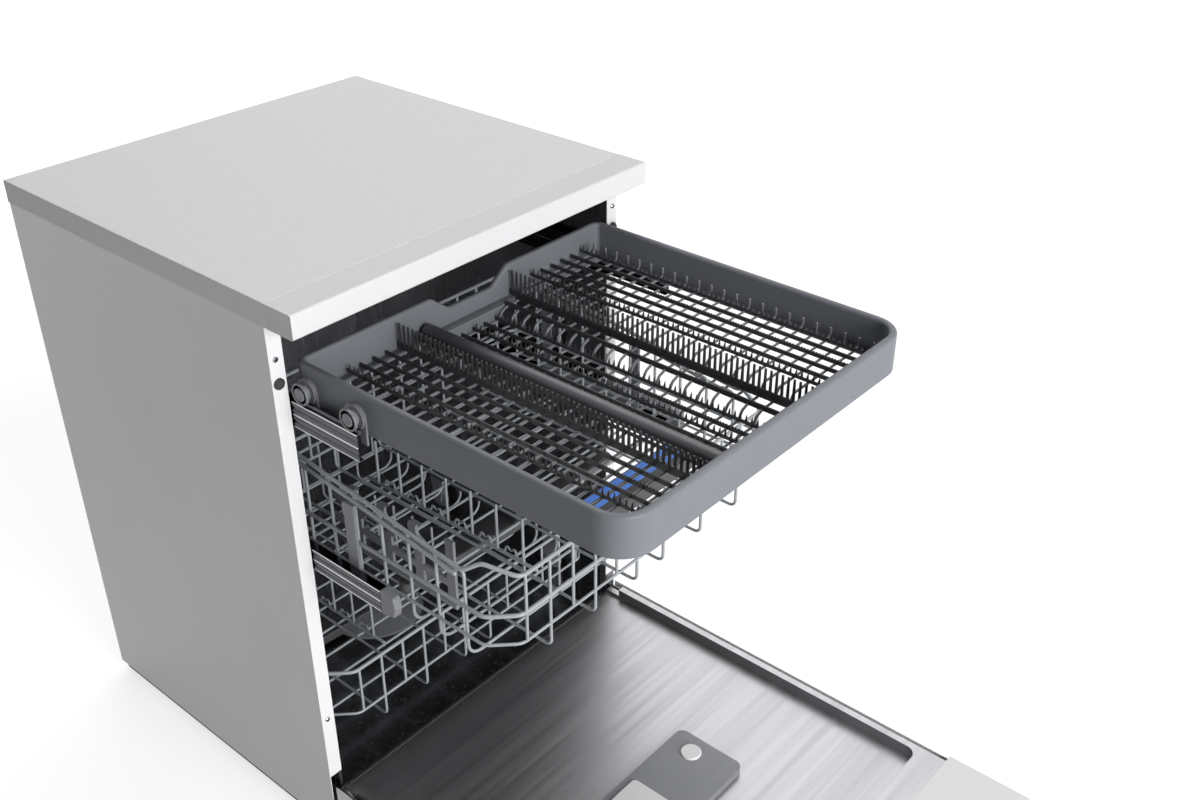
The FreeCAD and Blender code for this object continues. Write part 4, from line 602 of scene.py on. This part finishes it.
tray_low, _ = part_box("tray_frame")
left_low, left_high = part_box("tray_insert_left")
right_low, right_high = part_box("tray_insert_right")
COMB_START, COMB_END = left_low.y, left_high.y
LEDGE = 10 * MM
ROD = 1.75 * MM
# Levels of the slats' tops and of the tall combs' tips
DECK = left_low.z + 2 * ROD
SUNK = DECK - 20 * MM
RAISED = DECK + 10 * MM
PRONG_TOP = DECK + 34 * MM
ROW_PITCH = 20 * MM
FIRST_SLAT, SLAT_COUNT = 26.5 * MM, 23
SLATS = [tray_low.y + FIRST_SLAT + ROW_PITCH * i for i in range(SLAT_COUNT)]
SLAT_BEND = 7 * MM
FRONT_SLAT_CUT = 6 * MM
TOOTH_PITCH = 7.8 * MM
TOOTH_ROOT = 1 * MM
BAR_THICK = 2.4 * MM
BAR_HEIGHT = 3.6 * MM
# Levels on the slope up from the sunk part: its steep end, its top, its bar and the tall comb's skirt
SLOPE_LOW, SLOPE_TOP = DECK - 9 * MM, DECK - 5 * MM
SLOPE_BAR = (DECK - 8 * MM, DECK - 1 * MM)
COMB_SKIRT = DECK - 6 * MM
LEFT_COMB_BASE, RIGHT_COMB_BASE = DECK + 8 * MM, DECK + 6 * MM
# Runs across the tray: beside the tube, down the dip, and out to and up the pins
TUBE_GAP = 2 * MM
DIP_RUN = 5 * MM
PIN_OUT, PIN_UP = 12 * MM, 13 * MM


def even(first, last, count):
    """Two places with a number of even ones between them."""
    return [first + (last - first) * i / (count + 1) for i in range(count + 2)]


LEFT_ROWS = even(-198 * MM, -118 * MM, 3)
SUNK_ROWS = even(-2 * MM, 78 * MM, 3)
RAISED_ROWS = even(118 * MM, 218 * MM, 4)


def strip(shape, x, low, high, inset=0):
    """A thin upright strip along the tray with a narrowed top edge."""
    half, slope = BAR_THICK / 2, 0.6 * MM
    outline = [(x - half, low), (x + half, low), (x + half, high - slope), (x + half - slope, high),
               (x - half + slope, high), (x - half, high - slope)]
    extrude(shape, outline, COMB_START + inset, COMB_END - inset, "Y")


def comb(shape, x, low, base, tip, radii, lean, inset):
    """A strip with a row of round tapering teeth that lean towards the front."""
    strip(shape, x, low, base, inset)
    room = COMB_END - COMB_START - 2 * inset
    count = int(room / TOOTH_PITCH)
    first = (COMB_START + COMB_END - (count - 1) * TOOTH_PITCH) / 2
    for i in range(count):
        y = first + i * TOOTH_PITCH
        line = [Vector((x, y, base - TOOTH_ROOT)), Vector((x, y - lean, tip - radii[-1]))]
        tube(shape, line, radii, sides=7)


def low_comb(shape, x, deck, inset=0):
    """A bar with short pointed teeth."""
    base, tip, radii, lean = deck + 4 * MM, deck + 12 * MM, [1.9 * MM, 0.5 * MM], 1 * MM
    comb(shape, x, deck, base, tip, radii, lean, inset)


def tall_comb(shape, x, low, base):
    """A high comb whose round prongs all end at one level."""
    radii = [2.1 * MM, 1.6 * MM]
    comb(shape, x, low, base, PRONG_TOP, radii, 0, 0)


def beads(shape, x, base, inset=0):
    """Small points in a row on top of a thin bar."""
    pitch, rise, half, sunk = 4.2 * MM, 1.7 * MM, 1.1 * MM, 0.4 * MM
    for i in range(int((COMB_END - COMB_START - 2 * inset) / pitch)):
        y = COMB_START + inset + (i + 0.5) * pitch
        corners = [(x - half, y - half), (x - half, y + half), (x + half, y + half), (x + half, y - half)]
        feet = [shape.verts.new((cx, cy, base - sunk)) for cx, cy in corners]
        tip = shape.verts.new((x, y, base + rise))
        shape.faces.new(feet)
        for k in range(4):
            shape.faces.new((feet[(k + 1) % 4], feet[k], tip))


def slats(shape, profile):
    """Round cross slats that follow a profile of (x, z) pairs, the front one shortened at its outer end."""
    for i, y in enumerate(SLATS):
        reach = right_high.x - (ROD if i else FRONT_SLAT_CUT)
        points = [(max(-reach, x), y, z - ROD) for x, z in profile]
        tube(shape, bent(points, SLAT_BEND, steps=4), ROD, sides=8)


def fill_left_slats(shape):
    """Level slats from the left wall to the tube."""
    slats(shape, [(left_low.x + ROD, DECK), (left_high.x - ROD, DECK)])


def fill_right_slats(shape):
    """Slats that dip beside the tube, arch up to the tall comb and end in pins on the raised level."""
    edge, foot, head = right_low.x + ROD, SUNK_ROWS[2], SUNK_ROWS[-1]
    pin = RAISED_ROWS[-1] + PIN_OUT
    flat_run, steep_run, step_run = 2 * MM, 9 * MM, 12 * MM
    dip = [(edge, DECK), (edge + DIP_RUN, SUNK), (foot + flat_run, SUNK)]
    slope = [(foot + steep_run, SLOPE_LOW), (foot + ROW_PITCH, SLOPE_TOP), (head, SLOPE_TOP)]
    ladder = [(head + step_run, RAISED), (pin, RAISED), (pin, RAISED + PIN_UP)]
    slats(shape, dip + slope + ladder)


def fill_left_insert(shape):
    """The left rows: a low comb, three bars, a tall comb and a low one beside the tube."""
    for x in (LEFT_ROWS[0], left_high.x - TUBE_GAP):
        low_comb(shape, x, DECK)
    for x in LEFT_ROWS[1:-1]:
        strip(shape, x, DECK - ROD, DECK + BAR_HEIGHT)
    beads(shape, LEFT_ROWS[2], DECK + BAR_HEIGHT)
    tall_comb(shape, LEFT_ROWS[-1], DECK - ROD, LEFT_COMB_BASE)


def fill_right_insert(shape):
    """The sunk rows, the tall comb at the head of their slope and the raised ladder of bars."""
    low_comb(shape, SUNK_ROWS[0], SUNK, LEDGE)
    low_comb(shape, SUNK_ROWS[2], SUNK, LEDGE)
    for x in (SUNK_ROWS[1], SUNK_ROWS[0] - ROW_PITCH):
        strip(shape, x, SUNK - ROD, SUNK + BAR_HEIGHT, LEDGE)
    beads(shape, SUNK_ROWS[1], SUNK + BAR_HEIGHT, LEDGE)
    strip(shape, SUNK_ROWS[3], *SLOPE_BAR, LEDGE)
    strip(shape, SUNK_ROWS[-1], COMB_SKIRT, DECK, LEDGE)
    tall_comb(shape, SUNK_ROWS[-1], DECK - ROD, RIGHT_COMB_BASE)
    for x in (RAISED_ROWS[0], RAISED_ROWS[-1]):
        low_comb(shape, x, RAISED)
    for x in RAISED_ROWS[1:-1]:
        strip(shape, x, RAISED - ROD, RAISED + BAR_HEIGHT)
    beads(shape, RAISED_ROWS[3], RAISED + BAR_HEIGHT)


def fill_aprons(shape):
    """Plates that carry the ends of the sunk part, below the tray's ledge at the front and back."""
    thick, gap, margin = 2 * MM, 1 * MM, 4 * MM
    under = SUNK - 2 * ROD
    top = left_low.z - gap
    low_x, high_x = right_low.x, SUNK_ROWS[-1]
    outline = [(low_x, top), (low_x + DIP_RUN, under), (SUNK_ROWS[2] + margin, under),
               (SUNK_ROWS[3], SLOPE_LOW), (high_x, SLOPE_LOW), (high_x, top)]
    for y in (COMB_START + LEDGE - thick, COMB_END - LEDGE):
        extrude(shape, outline, y, y + thick, "Y")


piece("tray_left_insert_set", "tray", "insert_plastic", fill_left_insert, ["tray_insert_left"])
piece("tray_right_insert_set", "tray", "insert_plastic", fill_right_insert, ["tray_insert_right"])
# The slats take the lighter grey of the painted sheen
piece("tray_left_slats", "tray", "insert_plastic", fill_left_slats, finish=SLAT_PAINTED_SHEEN)
piece("tray_right_slats", "tray", "insert_plastic", fill_right_slats, finish=SLAT_PAINTED_SHEEN)
piece("tray_aprons", "tray", "tray_plastic", fill_aprons)


# Worktop joint with a painted highlight, handle bands, fascia window and screw heads with painted shade in
# their recesses

def fill_bands(shape):
    """Two plain bands let into the top of the basket handle."""
    low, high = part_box("upper_handle")
    width, end_gap = 9 * MM, 6 * MM
    under, fall = high.z - 2 * MM, 0.2 * MM
    for start in (high.y - 12 * MM, high.y - 26 * MM):
        end = start + width
        outline = [(start, under), (end, under), (end, high.z - fall), (start, high.z)]
        extrude(shape, outline, low.x + end_gap, high.x - end_gap, "X")


def fill_window(shape):
    """A dark strip with cut corners on the outer face of the control fascia."""
    low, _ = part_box("control_fascia")
    middle = low.y + 40 * MM
    half_long, half_wide, corner = 70 * MM, 9 * MM, 2 * MM
    proud, deep = 0.4 * MM, 0.6 * MM
    outline = [
        (-half_long + corner, middle - half_wide), (half_long - corner, middle - half_wide),
        (half_long, middle - half_wide + corner), (half_long, middle + half_wide - corner),
        (half_long - corner, middle + half_wide), (-half_long + corner, middle + half_wide),
        (-half_long, middle + half_wide - corner), (-half_long, middle - half_wide + corner),
    ]
    extrude(shape, outline, low.z - proud, low.z + deep, "Z")


def fill_cross_shades(shape):
    """A dark cross on each flange screw, standing just proud of its face: painted shade of a cross recess.
    """
    low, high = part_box("flange_screws")
    radius = 3.5 * MM
    long, wide = 2.0 * MM, 0.55 * MM
    proud, deep = 0.05 * MM, 1 * MM
    cross = [(-wide, -long), (wide, -long), (wide, -wide), (long, -wide), (long, wide), (wide, wide),
             (wide, long), (-wide, long), (-wide, wide), (-long, wide), (-long, -wide), (-wide, -wide)]
    for x in (low.x + radius, high.x - radius):
        for z in (low.z + radius, high.z - radius):
            extrude(shape, [(x + dx, z + dz) for dx, dz in cross], low.y - proud, low.y + deep, "Y")


def fill_joint(shape):
    """A thin bead in the joint between the worktop and its front trim, paler than both as a painted
    highlight.
    """
    low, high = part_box("worktop_board")
    radius, depth = 0.8 * MM, 0.88 * MM
    z = high.z - depth
    tube(shape, [Vector((low.x + radius, low.y, z)), Vector((high.x - radius, low.y, z))], radius)


piece("worktop_joint", "cabinet", "white_trim", fill_joint, finish=JOINT_BEAD_PAINTED_HIGHLIGHT)
piece("handle_bands", "upper_basket", "handle_plastic", fill_bands, finish=BLUE_BAND)
piece("fascia_window", "door", "control_plastic", fill_window, finish=DARK_WINDOW)
piece("screw_cross_shades", "cabinet", "bright_steel", fill_cross_shades, finish=SCREW_CROSS_PAINTED_SHADE)


# Softened edges on moulded nodes

SAME_PLACE = 0.01 * MM
SHARP_EDGE = math.radians(40)


def soften(node, width):
    """Rounded edges on a CAD node."""
    thing = frame["nodes"][node]
    weld = thing.modifiers.new("weld", "WELD")
    weld.merge_threshold = SAME_PLACE
    bevel = thing.modifiers.new("round", "BEVEL")
    bevel.width = width
    bevel.segments = 3
    bevel.limit_method = "ANGLE"
    bevel.angle_limit = SHARP_EDGE


for node, width in (("upper_rail_caps", 2.5 * MM), ("upper_handle", 1.5 * MM), ("cup_shelf", 0.8 * MM),
                    ("upper_carriers", 0.8 * MM)):
    soften(node, width)


# Studio

FLOOR_HALF = 8
FLOOR_GLOW = 0.7
FLOOR_ROUGH = 0.9
FLOOR_PATCH = 2
FLOOR_TONES = [(0.44, 0.44, 0.44), (0.46, 0.46, 0.46)]
# Distance from the middle, in metres, over which the floor turns white
FADE_START, FADE_END = 1.5, 3
DULL_FLOOR = (0.35, 0.35, 0.35, 1)
WORLD_LIGHT = 0.08
PHOTO_EYE = Vector((-1.0269, -1.0108, 1.4880))
PHOTO_AHEAD = Vector((0.6516, 0.5583, -0.5135))
PHOTO_LENS, PHOTO_SENSOR = 39.43, 36


def aim(thing, place, target):
    """Turn a lamp or camera from its place towards a point."""
    ahead = (Vector(target) - Vector(place)).normalized()
    side = ahead.cross(UP).normalized()
    axes = Matrix((side, side.cross(ahead), -ahead)).transposed().to_4x4()
    thing.matrix_world = Matrix.Translation(place) @ axes


def area_lamp(name, place, target, size, power):
    """A soft square lamp."""
    data = bpy.data.lights.new(name, "AREA")
    data.size = size
    data.energy = power
    lamp = bpy.data.objects.new(name, data)
    lamp.visible_camera = False
    bpy.context.scene.collection.objects.link(lamp)
    aim(lamp, place, target)


def seen_or_mirrored(tree):
    """One on rays from the camera, on mirrored rays and on rays through glass, and nought on the rest."""
    path = add_node(tree, "ShaderNodeLightPath")
    total = path.outputs["Is Camera Ray"]
    for kind in ("Is Glossy Ray", "Is Transmission Ray"):
        either = add_node(tree, "ShaderNodeMath")
        either.operation = "MAXIMUM"
        tree.links.new(total, either.inputs[0])
        tree.links.new(path.outputs[kind], either.inputs[1])
        total = either.outputs["Value"]
    return total


def studio_world(ambient):
    """White behind the object, a plain soft light on it."""
    world = bpy.data.worlds.new("studio")
    bpy.context.scene.world = world
    world.use_nodes = True
    tree = world.node_tree
    lit = tree.nodes["Background"]
    lit.inputs["Color"].default_value = WHITE
    lit.inputs["Strength"].default_value = ambient
    seen = add_node(tree, "ShaderNodeBackground", {"Color": WHITE, "Strength": 1.0})
    choice = add_node(tree, "ShaderNodeMixShader")
    tree.links.new(seen_or_mirrored(tree), choice.inputs["Fac"])
    tree.links.new(lit.outputs["Background"], choice.inputs[1])
    tree.links.new(seen.outputs["Background"], choice.inputs[2])
    tree.links.new(choice.outputs["Shader"], tree.nodes["World Output"].inputs["Surface"])


def studio_floor():
    """A pale floor that keeps the object's shadow, turns white further out and throws some light back."""
    material = bpy.data.materials.new("studio_floor")
    material.use_nodes = True
    tree = material.node_tree
    seen = tree.nodes["Principled BSDF"]
    seen.inputs["Roughness"].default_value = FLOOR_ROUGH
    seen.inputs["Emission Color"].default_value = WHITE
    place = add_node(tree, "ShaderNodeTexCoord")
    distance = add_node(tree, "ShaderNodeVectorMath")
    distance.operation = "LENGTH"
    tree.links.new(place.outputs["Object"], distance.inputs[0])
    limits = {"From Min": FADE_START, "From Max": FADE_END, "To Min": FLOOR_GLOW, "To Max": 1}
    fade = add_node(tree, "ShaderNodeMapRange", limits)
    tree.links.new(distance.outputs["Value"], fade.inputs["Value"])
    tree.links.new(fade.outputs["Result"], seen.inputs["Emission Strength"])
    tone = tones(tree, noise(tree, FLOOR_PATCH), *FLOOR_TONES)
    tree.links.new(tone, seen.inputs["Base Color"])
    dull = add_node(tree, "ShaderNodeBsdfDiffuse", {"Color": DULL_FLOOR})
    choice = add_node(tree, "ShaderNodeMixShader")
    tree.links.new(seen_or_mirrored(tree), choice.inputs["Fac"])
    tree.links.new(dull.outputs["BSDF"], choice.inputs[1])
    tree.links.new(seen.outputs["BSDF"], choice.inputs[2])
    tree.links.new(choice.outputs["Shader"], tree.nodes["Material Output"].inputs["Surface"])
    mesh = bpy.data.meshes.new("studio_floor")
    signs = [(-1, -1), (1, -1), (1, 1), (-1, 1)]
    corners = [(x * FLOOR_HALF, y * FLOOR_HALF, 0) for x, y in signs]
    mesh.from_pydata(corners, [], [(0, 1, 2, 3)])
    mesh.materials.append(material)
    floor = bpy.data.objects.new("studio_floor", mesh)
    bpy.context.scene.collection.objects.link(floor)


def photo_camera():
    """The photo's viewpoint."""
    data = bpy.data.cameras.new("photo_view")
    data.sensor_width = PHOTO_SENSOR
    data.lens = PHOTO_LENS
    camera = bpy.data.objects.new("photo_view", data)
    bpy.context.scene.collection.objects.link(camera)
    aim(camera, PHOTO_EYE, PHOTO_EYE + PHOTO_AHEAD)
    bpy.context.scene.camera = camera


studio_world(WORLD_LIGHT)
studio_floor()
area_lamp("front_lamp", place=(-0.5, -3.3, 1.3), target=(0, 0, 0.7), size=2.0, power=150)
area_lamp("back_lamp", place=(2.2, 1.9, 4.9), target=(0, 0, 0.8), size=5.0, power=175)
area_lamp("left_lamp", place=(-4.0, -0.8, 2.0), target=(0, 0, 0.7), size=0.8, power=4)
photo_camera()
bpy.context.scene.view_settings.view_transform = "Standard"
